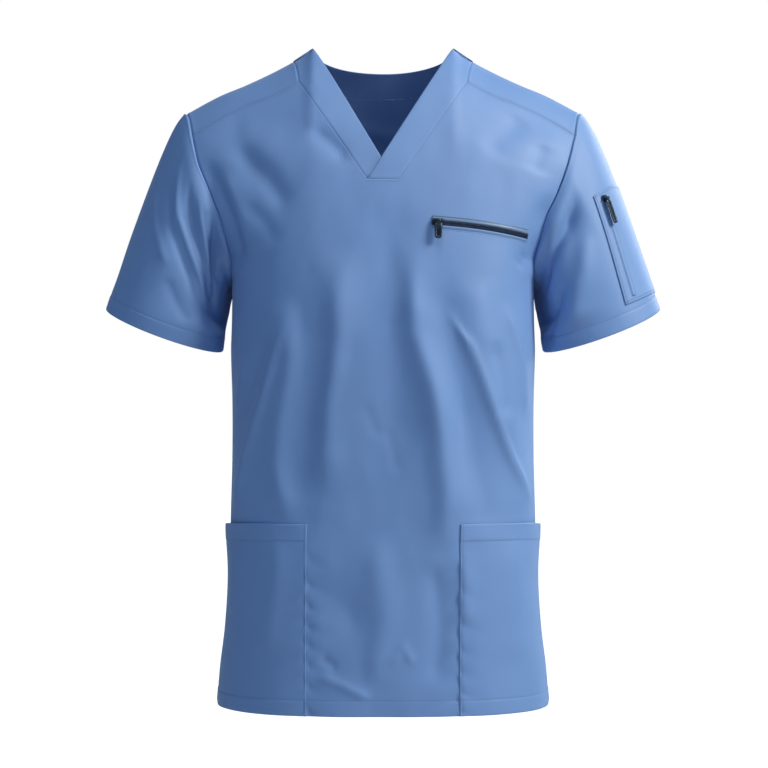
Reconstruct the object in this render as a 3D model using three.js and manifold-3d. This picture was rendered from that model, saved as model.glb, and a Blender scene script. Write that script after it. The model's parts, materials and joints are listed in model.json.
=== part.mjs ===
// A short-sleeved V-neck medical scrub top, filled out as worn, hollow and open.
// Millimetres, +Z up, front towards -Y, +X is the wearer's left.
// The origin lies between the shoulders, level with the tops of the neck opening.
import * as THREE from 'three';
import Module from 'manifold-3d';
import { mergeVertices } from 'three/addons/utils/BufferGeometryUtils.js';

const wasm = await Module();
wasm.setup();

const { abs, asin, cos, exp, hypot, max, min, PI, sin, sqrt } = Math;

// Cloth and seams
const CLOTH = 1.2;
const SEAM_GAP = 0.3;
const LYING_GAP = 0.3;
const MITRE_LIMIT = 0.6;

// Heights of the body's main levels
const UNDERARM_Z = -262;
const POCKET_MOUTH_Z = -536;
const VENT_TOP_Z = -640;
const HEM_Z = -746;

// Neckline
const V_POINT = { x: -2, z: -130 };
const V_BOTTOM = { halfWidth: 17.5, z: -155 };
const NECK_EDGE_X = 80;
const NECK_EDGE_Z = 3.4;
const BAND_SEAM_X = 103;
const YOKE_START = { x: 95, z: -40 };
const BAND_AT_YOKE = { x: 64, z: -23 };
const BACK_NECK_Z = -20;
const BACK_SEAM_Z = -48;
const CROSSING_START = 0.1;

// Shoulder line, from the neck to the top of the sleeve
const SHOULDER_LINE = [
  { x: 80, z: 3.4 },
  { x: 90, z: -5 },
  { x: 103, z: -12 },
  { x: 130, z: -26 },
  { x: 160, z: -40 },
  { x: 185, z: -50 },
  { x: 203, z: -59 },
  { x: 226, z: -72 },
];
const SHOULDER_X = 226;

// Seam between the front panel and a shoulder yoke
const YOKE_SEAM = [
  { x: 95, z: -40 },
  { x: 125, z: -56 },
  { x: 145, z: -63 },
  { x: 176, z: -76 },
  { x: 196, z: -87 },
  { x: 217, z: -100 },
];
const YOKE_END_X = 217;

// Armhole seam, from the shoulder down to the underarm
const ARMHOLE = [
  { z: -72, x: 226, front: 0, back: 0 },
  { z: -85, x: 222.5, front: -24, back: 27 },
  { z: -100, x: 217, front: -35, back: 39 },
  { z: -138, x: 207, front: -55, back: 55 },
  { z: -177, x: 193, front: -62, back: 61 },
  { z: -192, x: 187, front: -61.5, back: 60 },
  { z: -220, x: 178.5, front: -52, back: 51 },
  { z: -237, x: 174.5, front: -42, back: 42 },
  { z: -250, x: 172.8, front: -30, back: 30 },
  { z: -258.5, x: 172.6, front: -16, back: 16 },
  { z: -262, x: 172.5, front: 0, back: 0 },
];

// Body sections: depth of the front and the back at the centre, and half the width
const DEPTHS = [
  { z: -40, front: -55, back: 52 },
  { z: -100, front: -86, back: 80 },
  { z: -155, front: -105, back: 98 },
  { z: -205, front: -116, back: 107 },
  { z: -262, front: -123, back: 112 },
  { z: -330, front: -126, back: 108 },
  { z: -400, front: -124, back: 102 },
  { z: -460, front: -121, back: 100 },
  { z: -536, front: -123, back: 105 },
  { z: -640, front: -127, back: 116 },
  { z: -746, front: -130, back: 124 },
];
const HALF_WIDTHS = [
  { z: -262, x: 172.5 },
  { z: -310, x: 173 },
  { z: -345, x: 174 },
  { z: -400, x: 172.5 },
  { z: -460, x: 172.5 },
  { z: -520, x: 174 },
  { z: -600, x: 176 },
  { z: -660, x: 180 },
  { z: -706, x: 185.5 },
  { z: -746, x: 188 },
];
const BOXINESS = 2.6;
const SHOULDER_ROUNDNESS = 2;
const FRONT_SLOPE = 8.4;
const BACK_SLOPE = 8;
const FRONT_LATERAL_DROP = 0.27;
const BACK_LATERAL_DROP = 0.2;
const ARMHOLE_CUT_BACK = 0.13;
const EDGE_PULL = 6;

// Heights between which the level sections change into the cloth that hangs from the shoulders
const ROUND_FROM_Z = -160;
const CUT_BACK_FROM_Z = -180;
const SHOULDER_BLEND = { from: -140, to: -80 };

// How the folds fade: towards the side seams, and at their ends
const FOLDS_END_AT_SHARE = 0.93;
const FOLD_END_FADE = 0.5;

// Largest folds: a line from one end to the other, how far it stands out, and its half-width
const FRONT_FOLDS = [
  { x1: -117, z1: -310, x2: -164, z2: -520, out: 5, wide: 17 },
  { x1: -64, z1: -340, x2: -94, z2: -520, out: -6, wide: 24 },
  { x1: 16, z1: -215, x2: 18, z2: -420, out: -4, wide: 26 },
  { x1: 100, z1: -290, x2: 158, z2: -505, out: 5, wide: 17 },
  { x1: 66, z1: -305, x2: 112, z2: -520, out: -6, wide: 22 },
  { x1: 48, z1: -305, x2: 82, z2: -510, out: 3.5, wide: 17 },
  { x1: -172, z1: -110, x2: -118, z2: -180, out: -4, wide: 20 },
  { x1: -60, z1: -610, x2: -24, z2: -650, out: -3, wide: 18 },
];
const BACK_FOLDS = [
  { x1: -95, z1: -250, x2: -128, z2: -480, out: 5, wide: 20 },
  { x1: -45, z1: -300, x2: -62, z2: -520, out: -6, wide: 24 },
  { x1: 0, z1: -330, x2: 6, z2: -600, out: 4, wide: 22 },
  { x1: 50, z1: -290, x2: 66, z2: -500, out: -6, wide: 24 },
  { x1: 98, z1: -240, x2: 132, z2: -470, out: 5, wide: 20 },
];

// Sleeve: the cuff is an ellipse, wider across than it is deep, tilted and leaning back
const CUFF_OUTER = { x: 318, z: -295 };
const CUFF_INNER = { x: 184, z: -344 };
const CUFF_HALF_DEPTH = 62;
const CUFF_LEAN = (9 * PI) / 180;
const SLEEVE_CAP_BULGE = 9;
const SLEEVE_SIDE_BULGE = 8;
const SLEEVE_UNDERARM_SHARE = 0.72;
const UNDER_SLEEVE_SHARE = 0.46;
const SLEEVE_FOLD_END_FADE = 0.6;
const SLEEVE_FOLDS = {
  from: 0.12,
  to: 0.9,
  rows: [
    { around: 0.33, along: 0.1, aroundEnd: 0.62, alongEnd: 0.62, out: -4, wide: 0.09 },
    { around: 0.5, along: 0.04, aroundEnd: 0.82, alongEnd: 0.5, out: 4, wide: 0.08 },
  ],
};

// Lower patch pockets
const POCKET_INNER_X = 84;
const POCKET_GAPE = 5;
const POCKET_GAPE_LENGTH = 45;
const POCKET_GAPE_POWER = 3;

// Vents at the sides of the hem
const VENT_OPEN = 3;

// Rows and columns of the panels
const NECK_COLUMNS = 5;
const SHOULDER_COLUMNS = 9;
const FRONT_UPPER_ROWS = 9;
const YOKE_ROWS = 3;
const BACK_UPPER_ROWS = 12;
const WAIST_ROWS = 10;
const POCKET_ROWS = 8;
const SLEEVE_ROWS = 9;
const FRONT_ROW_SPREAD = 1.6;
const SLEEVE_ROW_SPREAD = 1.25;

// Chest zip, on the wearer's left: the tape's middle line and its sizes
const CHEST_ZIP = { x1: 54, z1: -203, x2: 161, z2: -216, arch: 2, high: 12, thick: 1 };
const CHEST_ZIP_STEPS = 18;
const CHEST_SLIDER_PLACE = 0.06;

// Sleeve patch pocket and its zip: shares round the sleeve, then along it, at the four corners
const SLEEVE_POCKET = {
  front: { top: 0.3, low: 0.35, topAlong: 0.255, lowAlong: 0.87 },
  back: { top: -0.08, low: -0.06, topAlong: 0.44, lowAlong: 0.93 },
};
const SLEEVE_POCKET_COLUMNS = 14;
const SLEEVE_POCKET_ROWS = 10;
const SLEEVE_POCKET_WALL = 1;
const SLEEVE_POCKET_GAP = 0.6;
const SLEEVE_ZIP = { across: 0.16, top: 0.03, low: 0.95, wide: 6, thick: 0.9 };
const SLEEVE_ZIP_STEPS = 12;
const SLEEVE_SLIDER_PLACE = 0.04;
const TAPE_GAP = 0.8;

// Sliders and pull tabs: wide runs along the hinge, high runs the way that the tab hangs
const CHEST_SLIDER = { wide: 13, high: 6.5, thick: 2, knuckle: 5 };
const CHEST_TAB = { wide: 8.5, long: 18, thick: 1.5 };
const SLEEVE_SLIDER = { wide: 7, high: 9, thick: 2, knuckle: 3.6 };
const SLEEVE_TAB = { wide: 7, long: 28, thick: 1.5 };
const HARDWARE_GAP = 0.35;
const BAR_RADIUS = 0.65;
const KNUCKLE_BORE = 1.05;
const KNUCKLE_RADIUS = 1.7;
const KNUCKLE_CLEAR = 0.4;
const HINGE_SIDES = 12;
const POST = { thick: 1, high: 1.9, gap: 0.4 };
const CORNER_RADIUS = 1.8;
const CORNER_STEPS = 3;

// Colours
const BLUE = 0x6085be;
const DARK_TAPE = 0x1c2430;
const GUNMETAL = 0x3c4046;

// Small helpers
const vec = (x, y, z) => new THREE.Vector3(x, y, z);
const mix = (a, b, t) => a + (b - a) * t;
const clamp = (t) => max(0, min(1, t));
const ease = (t) => t * t * (3 - 2 * t);
const rise = (from, to, at) => ease(clamp((at - from) / (to - from)));
const steps = (count) => Array.from({ length: count + 1 }, (_, i) => i / count);
const lerpPoint = (a, b, t) => a.clone().lerp(b, t);

// A smooth curve through a column of a table, read by another column.
function curveThrough(rows, by, key) {
  const sorted = [...rows].sort((a, b) => a[by] - b[by]);
  const at = sorted.map((row) => row[by]);
  const value = sorted.map((row) => row[key]);
  const last = at.length - 1;
  const slope = at.map((_, i) => {
    const before = max(0, i - 1);
    const after = min(last, i + 1);
    return (value[after] - value[before]) / (at[after] - at[before]);
  });
  return (where) => {
    if (where <= at[0]) return value[0];
    if (where >= at[last]) return value[last];
    let i = 0;
    while (where > at[i + 1]) i += 1;
    const step = at[i + 1] - at[i];
    const t = (where - at[i]) / step;
    const bend = t * (1 - t) * step;
    return mix(value[i], value[i + 1], ease(t)) + bend * ((1 - t) * slope[i] - t * slope[i + 1]);
  };
}

const shoulderZ = curveThrough(SHOULDER_LINE, 'x', 'z');
const yokeSeamZ = curveThrough(YOKE_SEAM, 'x', 'z');
const armholeX = curveThrough(ARMHOLE, 'z', 'x');
const halfWidth = curveThrough(HALF_WIDTHS, 'z', 'x');
const depth = { front: curveThrough(DEPTHS, 'z', 'front'), back: curveThrough(DEPTHS, 'z', 'back') };
const armholeY = { front: curveThrough(ARMHOLE, 'z', 'front'), back: curveThrough(ARMHOLE, 'z', 'back') };
const slopeOf = { front: -FRONT_SLOPE, back: BACK_SLOPE };
const lateralDrop = { front: FRONT_LATERAL_DROP, back: BACK_LATERAL_DROP };
const sideX = (z) => (z > UNDERARM_Z ? armholeX(z) : halfWidth(z));

// Depth of the level section at a share of its half-width, from the centre to the side or armhole.
function sectionY(side, share, z) {
  const edge = z > UNDERARM_Z ? armholeY[side](z) : 0;
  const round = mix(BOXINESS, SHOULDER_ROUNDNESS, rise(UNDERARM_Z, ROUND_FROM_Z, z));
  const reach = 1 - ARMHOLE_CUT_BACK * rise(UNDERARM_Z, CUT_BACK_FROM_Z, z);
  const profile = (k) => depth[side](z) * (1 - (k * reach) ** round) ** (1 / round);
  const across = min(1, abs(share));
  return profile(across) + (edge - profile(1)) * across ** EDGE_PULL;
}

// Depth of the cloth that hangs from the shoulder line.
function shoulderY(side, x, z) {
  const drop = max(0, shoulderZ(abs(x)) - z);
  return slopeOf[side] * sqrt(drop) * (1 - lateralDrop[side] * (x / YOKE_END_X) ** 2);
}

// How far the folds move the cloth out at a place on the front or back.
function foldOut(folds, x, z) {
  let out = 0;
  for (const fold of folds) {
    const runX = fold.x2 - fold.x1;
    const runZ = fold.z2 - fold.z1;
    const t = ((x - fold.x1) * runX + (z - fold.z1) * runZ) / (runX ** 2 + runZ ** 2);
    const near = clamp(t);
    const away = hypot(x - fold.x1 - near * runX, z - fold.z1 - near * runZ) / fold.wide;
    out += fold.out * exp(-away * away) * (1 - FOLD_END_FADE * abs(2 * near - 1));
  }
  return out;
}

// A point of the body's cloth, from its place across and its height.
function bodyPoint(side, x, z) {
  const share = x / sideX(z);
  const low = sectionY(side, share, z);
  const { from, to } = SHOULDER_BLEND;
  const y = z > from ? mix(low, shoulderY(side, x, z), rise(from, to, z)) : low;
  const folds = side === 'front' ? FRONT_FOLDS : BACK_FOLDS;
  const outwards = vec(x / sideX(z) ** 2, y / depth[side](z) ** 2, 0).normalize();
  return vec(x, y, z).addScaledVector(outwards, foldOut(folds, x, z) * rise(1, FOLDS_END_AT_SHARE, abs(share)));
}

// The places across a half panel: the level V bottom, the neck slope, then out to the side.
const COLUMN_COUNT = 1 + NECK_COLUMNS + SHOULDER_COLUMNS;

function columnShareLow(column, z) {
  if (column === 0) return 0;
  const half = halfWidth(z);
  if (column <= NECK_COLUMNS + 1) {
    return mix(V_BOTTOM.halfWidth, POCKET_INNER_X, (column - 1) / NECK_COLUMNS) / half;
  }
  const start = asin((POCKET_INNER_X / half) ** (BOXINESS / 2));
  const angle = mix(start, PI / 2, (column - NECK_COLUMNS - 1) / SHOULDER_COLUMNS);
  return sin(angle) ** (2 / BOXINESS);
}

// Where each column of the front panel ends: level V bottom, neck slope, then yoke seam.
function frontTop(column) {
  if (column === 0) return { x: 0, z: V_BOTTOM.z };
  if (column <= NECK_COLUMNS + 1) {
    const t = (column - 1) / NECK_COLUMNS;
    return { x: mix(V_BOTTOM.halfWidth, YOKE_START.x, t), z: mix(V_BOTTOM.z, YOKE_START.z, t) };
  }
  const x = mix(YOKE_START.x, YOKE_END_X, (column - NECK_COLUMNS - 1) / SHOULDER_COLUMNS);
  return { x, z: yokeSeamZ(x) };
}

// Where each column of the back panel ends: the back neck seam, then the shoulder seam.
function backTop(column) {
  if (column <= NECK_COLUMNS + 1) {
    const t = column / (NECK_COLUMNS + 1);
    const x = BAND_SEAM_X * sin((t * PI) / 2);
    return { x, z: mix(BACK_SEAM_Z, shoulderZ(BAND_SEAM_X), 1 - cos((t * PI) / 2)) };
  }
  const x = mix(BAND_SEAM_X, SHOULDER_X, (column - NECK_COLUMNS - 1) / SHOULDER_COLUMNS);
  return { x, z: shoulderZ(x) };
}

// A column of a panel from its top edge down to the underarm level.
function upperColumn(side, column, mirror, rows) {
  const top = side === 'front' ? frontTop(column) : backTop(column);
  const shareTop = top.x / armholeX(top.z);
  const shareLow = columnShareLow(column, UNDERARM_Z);
  const spread = side === 'front' ? (r) => r ** FRONT_ROW_SPREAD : ease;
  return steps(rows).map((t) => {
    const r = 1 - t;
    const z = mix(UNDERARM_Z, top.z, spread(r));
    const x = mix(shareLow, shareTop, spread(r)) * sideX(z);
    return bodyPoint(side, mirror * x, z);
  });
}

// A column of a panel from below the underarm level to the hem.
const LOWER_LEVELS = [
  ...steps(WAIST_ROWS).slice(1).map((t) => mix(UNDERARM_Z, POCKET_MOUTH_Z, t)),
  ...steps(POCKET_ROWS).slice(1).map((t) => mix(POCKET_MOUTH_Z, HEM_Z, t)),
];

function lowerColumn(side, column, mirror) {
  return LOWER_LEVELS.map((z) => {
    const point = bodyPoint(side, mirror * columnShareLow(column, z) * halfWidth(z), z);
    const open = column === COLUMN_COUNT ? VENT_OPEN * clamp((VENT_TOP_Z - z) / (VENT_TOP_Z - HEM_Z)) : 0;
    point.y += (side === 'front' ? -1 : 1) * open;
    point.x += side === 'back' ? mirror * open : 0;
    return point;
  });
}

// The front or back panel: rows from the top edge down, columns from the wearer's right to left.
function panelGrid(side, upperRows) {
  const columns = [];
  for (let c = -COLUMN_COUNT; c <= COLUMN_COUNT; c += 1) {
    const mirror = c < 0 ? -1 : 1;
    columns.push([...upperColumn(side, abs(c), mirror, upperRows), ...lowerColumn(side, abs(c), mirror)]);
  }
  return columns[0].map((_, row) => columns.map((column) => column[row]));
}

const frontGrid = panelGrid('front', FRONT_UPPER_ROWS);
const backGrid = panelGrid('back', BACK_UPPER_ROWS);
const columnAt = (signedColumn) => COLUMN_COUNT + signedColumn;
const SHOULDER_COLUMN = NECK_COLUMNS + 1;

// A front shoulder yoke, from the front panel's top edge up over to the shoulder seam.
function yokeGrid(mirror) {
  return steps(YOKE_ROWS).map((r) =>
    steps(SHOULDER_COLUMNS).map((t, i) => {
      const low = frontGrid[0][columnAt(mirror * (SHOULDER_COLUMN + i))];
      const high = backGrid[0][columnAt(mirror * (SHOULDER_COLUMN + i))];
      const z = mix(high.z, low.z, r * r);
      return vec(mix(high.x, low.x, r), mix(high.y, low.y, r), z);
    }),
  );
}

const yokeGrids = { left: yokeGrid(1), right: yokeGrid(-1) };

// Neck bands, from their outer seam to the neck edge.
const frontPoint = (x, z) => bodyPoint('front', x, z);

function bandStations(mirror) {
  const stations = [];
  for (let c = 1; c <= SHOULDER_COLUMN; c += 1) {
    const t = (c - 1) / NECK_COLUMNS;
    const x = mix(V_POINT.x, mirror * BAND_AT_YOKE.x, t);
    const inner = frontPoint(x, mix(V_POINT.z, BAND_AT_YOKE.z, t));
    stations.push({ outer: frontGrid[0][columnAt(mirror * c)], inner });
  }
  const yoke = mirror > 0 ? yokeGrids.left : yokeGrids.right;
  for (let r = YOKE_ROWS - 1; r >= 0; r -= 1) {
    const share = r / YOKE_ROWS;
    const z = mix(NECK_EDGE_Z, BAND_AT_YOKE.z, share * share);
    const along = (z - BAND_AT_YOKE.z) / (NECK_EDGE_Z - BAND_AT_YOKE.z);
    const x = mix(BAND_AT_YOKE.x, NECK_EDGE_X, along);
    const inner = frontPoint(mirror * x, z);
    stations.push({ outer: yoke[r][0], inner });
  }
  return stations;
}

function bandMiddle(side, outer, inner) {
  const x = mix(outer.x, inner.x, 0.5);
  const z = mix(outer.z, inner.z, 0.5);
  const onShoulder = abs(outer.y) < 0.01 && abs(inner.y) < 0.01;
  return onShoulder ? vec(x, 0, shoulderZ(abs(x))) : bodyPoint(side, x, z);
}

function bandGrid(side, stations) {
  return stations.map(({ outer, inner }) => [outer, bandMiddle(side, outer, inner), inner]);
}

// The left band runs on across the V's level bottom and lies against the right band's end.
function crossingStations() {
  const corner = frontGrid[0][columnAt(-1)];
  const point = frontPoint(V_POINT.x, V_POINT.z);
  const nearCorner = frontPoint(
    mix(corner.x, point.x, CROSSING_START),
    mix(corner.z, point.z, CROSSING_START),
  );
  const halfWay = frontPoint(mix(corner.x, point.x, 0.5), mix(corner.z, point.z, 0.5));
  return [
    { outer: corner, inner: nearCorner },
    { outer: frontGrid[0][columnAt(0)], inner: halfWay },
  ];
}

function rightBandGrid() {
  const grid = bandGrid('front', bandStations(-1));
  const [corner, , point] = grid[0];
  grid[0][1] = frontPoint(mix(corner.x, point.x, 0.5), mix(corner.z, point.z, 0.5));
  return grid;
}

function backBandGrid() {
  const stations = [];
  for (let c = -SHOULDER_COLUMN; c <= SHOULDER_COLUMN; c += 1) {
    const t = c / SHOULDER_COLUMN;
    const x = NECK_EDGE_X * sin((t * PI) / 2);
    const z = mix(BACK_NECK_Z, NECK_EDGE_Z, 1 - cos((t * PI) / 2));
    const atEnd = abs(c) === SHOULDER_COLUMN;
    const inner = atEnd ? frontPoint(x, NECK_EDGE_Z) : bodyPoint('back', x, z);
    stations.push({ outer: backGrid[0][columnAt(c)], inner });
  }
  return bandGrid('back', stations);
}

// The armhole loop, from the shoulder down the front, and back up the back.
function armholeLoop(mirror) {
  const yoke = mirror > 0 ? yokeGrids.left : yokeGrids.right;
  const side = columnAt(mirror * COLUMN_COUNT);
  const front = yoke.map((row) => row[SHOULDER_COLUMNS]);
  for (let row = 1; row <= FRONT_UPPER_ROWS; row += 1) front.push(frontGrid[row][side]);
  const back = [];
  for (let row = BACK_UPPER_ROWS - 1; row >= 1; row -= 1) back.push(backGrid[row][side]);
  return { front, back };
}

// Each loop point's share of the way round: 0 at the top, 1 underarm, negative behind.
function sharesAlong(points) {
  const lengths = [0];
  for (let i = 1; i < points.length; i += 1) lengths.push(lengths[i - 1] + points[i].distanceTo(points[i - 1]));
  return lengths.map((length) => length / lengths[lengths.length - 1]);
}

function loopWithShares(mirror) {
  const { front, back } = armholeLoop(mirror);
  const frontShares = sharesAlong(front);
  const backUp = [front[front.length - 1], ...back, front[0]];
  const backShares = sharesAlong(backUp).map((share) => share - 1);
  const points = front.map((point, i) => ({ point, share: frontShares[i] }));
  back.forEach((point, i) => points.push({ point, share: backShares[i + 1] }));
  return points;
}

// A point of the cuff's rim for a share round the sleeve.
function cuffPoint(mirror, share) {
  const angle = share * PI;
  const across = (CUFF_OUTER.x - CUFF_INNER.x) / 2;
  const up = (CUFF_OUTER.z - CUFF_INNER.z) / 2;
  const forward = CUFF_HALF_DEPTH * sin(angle);
  return vec(
    mirror * ((CUFF_OUTER.x + CUFF_INNER.x) / 2 + across * cos(angle)),
    -forward * cos(CUFF_LEAN),
    (CUFF_OUTER.z + CUFF_INNER.z) / 2 + up * cos(angle) - forward * sin(CUFF_LEAN),
  );
}

function sleeveFoldOut(share, along) {
  let out = 0;
  for (const fold of SLEEVE_FOLDS.rows) {
    const runRound = fold.aroundEnd - fold.around;
    const runAlong = fold.alongEnd - fold.along;
    const t = ((abs(share) - fold.around) * runRound + (along - fold.along) * runAlong)
      / (runRound ** 2 + runAlong ** 2);
    const near = clamp(t);
    const away = hypot(abs(share) - fold.around - near * runRound, along - fold.along - near * runAlong) / fold.wide;
    out += fold.out * exp(-away * away) * (1 - SLEEVE_FOLD_END_FADE * abs(2 * near - 1));
  }
  return out;
}

// A point of the sleeve between an armhole point and the cuff.
function sleevePoint(mirror, start, share, along) {
  const rim = cuffPoint(mirror, share);
  const centre = vec(mirror * (CUFF_OUTER.x + CUFF_INNER.x) / 2, 0, (CUFF_OUTER.z + CUFF_INNER.z) / 2);
  const outwards = rim.clone().sub(centre).normalize();
  const top = clamp(1 - abs(share) * 2);
  const underarm = rise(1, SLEEVE_UNDERARM_SHARE, abs(share));
  const bulge = mix(SLEEVE_SIDE_BULGE, SLEEVE_CAP_BULGE, top) * underarm * sin(PI * sqrt(along));
  const fold = sleeveFoldOut(share, along) * rise(0, SLEEVE_FOLDS.from, along) * rise(1, SLEEVE_FOLDS.to, along);
  return lerpPoint(start, rim, along).addScaledVector(outwards, bulge + fold);
}

const loops = { left: loopWithShares(1), right: loopWithShares(-1) };

function sleeveGrid(mirror) {
  const loop = mirror > 0 ? loops.left : loops.right;
  return steps(SLEEVE_ROWS).map((t) => {
    const along = t ** SLEEVE_ROW_SPREAD;
    return loop.map(({ point, share }) => sleevePoint(mirror, point, share, along));
  });
}

// The upper sleeve goes over the top, and the under sleeve round the underarm.
function sleeveParts(mirror) {
  const grid = sleeveGrid(mirror);
  const loop = mirror > 0 ? loops.left : loops.right;
  const first = loop.findIndex(({ share }) => share >= UNDER_SLEEVE_SHARE);
  const last = loop.findLastIndex(({ share }) => share <= -UNDER_SLEEVE_SHARE);
  return {
    upper: grid.map((line) => [...line.slice(last), ...line.slice(0, first + 1)]),
    under: grid.map((line) => line.slice(first, last + 1)),
  };
}

// The armhole point for any share round, between the loop's own points.
function loopPoint(mirror, share) {
  const loop = mirror > 0 ? loops.left : loops.right;
  const sorted = [...loop].sort((a, b) => a.share - b.share);
  let i = 0;
  while (i < sorted.length - 2 && sorted[i + 1].share < share) i += 1;
  const t = (share - sorted[i].share) / (sorted[i + 1].share - sorted[i].share);
  return lerpPoint(sorted[i].point, sorted[i + 1].point, t);
}

const onSleeve = (mirror, share, along) => sleevePoint(mirror, loopPoint(mirror, share), share, along);

// Shared normals, so that walls meet in a mitre at the seams.
const keyOf = (p) => `${p.x.toFixed(3)},${p.y.toFixed(3)},${p.z.toFixed(3)}`;

function faceNormal(a, b, c, d) {
  return c.clone().sub(a).cross(d.clone().sub(b)).normalize();
}

function eachQuad(grid, visit) {
  for (let row = 0; row < grid.length - 1; row += 1) {
    for (let column = 0; column < grid[0].length - 1; column += 1) {
      const next = column + 1;
      visit(grid[row][column], grid[row + 1][column], grid[row + 1][next], grid[row][next]);
    }
  }
}

function addNormals(book, grid, turn) {
  eachQuad(grid, (a, b, c, d) => {
    const normal = faceNormal(a, b, c, d).multiplyScalar(turn);
    for (const point of [a, b, c, d]) {
      const key = keyOf(point);
      if (!book.has(key)) book.set(key, []);
      book.get(key).push(normal);
    }
  });
}

// The mitred way out of the cloth at a point, for a wall one millimetre thick.
function wayOut(book, point) {
  const normals = book.get(keyOf(point));
  const sum = normals.reduce((total, normal) => total.add(normal), vec(0, 0, 0)).normalize();
  const facing = normals.reduce((total, normal) => total + sum.dot(normal), 0) / normals.length;
  return sum.multiplyScalar(1 / max(MITRE_LIMIT, facing));
}

// The edge points of a grid, moved in by half a seam gap.
function trimmed(grid, trim) {
  const rows = grid.length;
  const columns = grid[0].length;
  return grid.map((line, row) =>
    line.map((point, column) => {
      const moved = point.clone();
      const towards = [];
      if (row === 0) towards.push(grid[1][column]);
      if (row === rows - 1) towards.push(grid[rows - 2][column]);
      if (column === 0) towards.push(line[1]);
      if (column === columns - 1) towards.push(line[columns - 2]);
      for (const other of towards) moved.addScaledVector(other.clone().sub(point).normalize(), trim);
      return moved;
    }),
  );
}

// A closed wall from a grid of outer points.
function clothGeometry(grid, { book, turn = 1, wall = CLOTH, lift = 0, trim = SEAM_GAP / 2 }) {
  const rows = grid.length;
  const columns = grid[0].length;
  const outer = trimmed(grid, trim);
  const positions = [];
  const index = [];
  grid.forEach((line, row) => line.forEach((point, column) => {
    const out = wayOut(book, point);
    const high = typeof lift === 'function' ? lift(row, column) : lift;
    const top = outer[row][column].clone().addScaledVector(out, high);
    const under = outer[row][column].clone().addScaledVector(out, high - wall);
    positions.push(top.x, top.y, top.z, under.x, under.y, under.z);
  }));
  const at = (row, column, under) => 2 * (row * columns + column) + (under ? 1 : 0);
  const quad = (a, b, c, d) => {
    if (turn > 0) index.push(a, b, c, a, c, d);
    else index.push(a, c, b, a, d, c);
  };
  // Both faces of the wall are split along the shorter diagonal, so that mirrored pieces match.
  const wallQuad = (row, c) => {
    const falling = outer[row][c].distanceTo(outer[row + 1][c + 1]);
    const rising = outer[row + 1][c].distanceTo(outer[row][c + 1]);
    if (falling <= rising) {
      quad(at(row, c), at(row + 1, c), at(row + 1, c + 1), at(row, c + 1));
      quad(at(row, c, 1), at(row, c + 1, 1), at(row + 1, c + 1, 1), at(row + 1, c, 1));
    } else {
      quad(at(row + 1, c), at(row + 1, c + 1), at(row, c + 1), at(row, c));
      quad(at(row, c + 1, 1), at(row + 1, c + 1, 1), at(row + 1, c, 1), at(row, c, 1));
    }
  };
  const lastColumn = columns - 1;
  for (let row = 0; row < rows - 1; row += 1) {
    for (let c = 0; c < lastColumn; c += 1) wallQuad(row, c);
  }
  for (let c = 0; c < lastColumn; c += 1) {
    quad(at(0, c), at(0, c + 1), at(0, c + 1, 1), at(0, c, 1));
    quad(at(rows - 1, c, 1), at(rows - 1, c + 1, 1), at(rows - 1, c + 1), at(rows - 1, c));
  }
  for (let row = 0; row < rows - 1; row += 1) {
    quad(at(row, 0, 1), at(row + 1, 0, 1), at(row + 1, 0), at(row, 0));
    quad(at(row, columns - 1), at(row + 1, columns - 1), at(row + 1, columns - 1, 1), at(row, columns - 1, 1));
  }
  const geometry = new THREE.BufferGeometry();
  geometry.setAttribute('position', new THREE.Float32BufferAttribute(positions, 3));
  geometry.setIndex(index);
  return geometry;
}

// The garment's shell: every piece that is sewn edge to edge.
const sleeves = { left: sleeveParts(1), right: sleeveParts(-1) };
const shell = [
  { name: 'front_panel', grid: frontGrid, turn: 1 },
  { name: 'back_panel', grid: backGrid, turn: -1 },
  { name: 'yoke_left', grid: yokeGrids.left, turn: 1 },
  { name: 'yoke_right', grid: yokeGrids.right, turn: -1 },
  { name: 'sleeve_left', grid: sleeves.left.upper, turn: -1 },
  { name: 'sleeve_left_under', grid: sleeves.left.under, turn: -1 },
  { name: 'sleeve_right', grid: sleeves.right.upper, turn: 1 },
  { name: 'sleeve_right_under', grid: sleeves.right.under, turn: 1 },
  { name: 'neck_band_left', grid: bandGrid('front', [...crossingStations(), ...bandStations(1)]), turn: 1 },
  { name: 'neck_band_right', grid: rightBandGrid(), turn: -1 },
  { name: 'neck_band_back', grid: backBandGrid(), turn: -1 },
];
const shellBook = new Map();
for (const piece of shell) addNormals(shellBook, piece.grid, piece.turn);

const group = new THREE.Group();
const materials = {
  cloth: new THREE.MeshStandardMaterial({ color: BLUE, roughness: 0.8, metalness: 0 }),
  tape: new THREE.MeshStandardMaterial({ color: DARK_TAPE, roughness: 0.85, metalness: 0 }),
  metal: new THREE.MeshStandardMaterial({ color: GUNMETAL, roughness: 0.35, metalness: 0.9 }),
};

function addMesh(name, geometry, material) {
  const mesh = new THREE.Mesh(geometry, materials[material].clone());
  mesh.name = name;
  group.add(mesh);
}

for (const piece of shell) addMesh(piece.name, clothGeometry(piece.grid, { ...piece, book: shellBook }), 'cloth');

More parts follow.
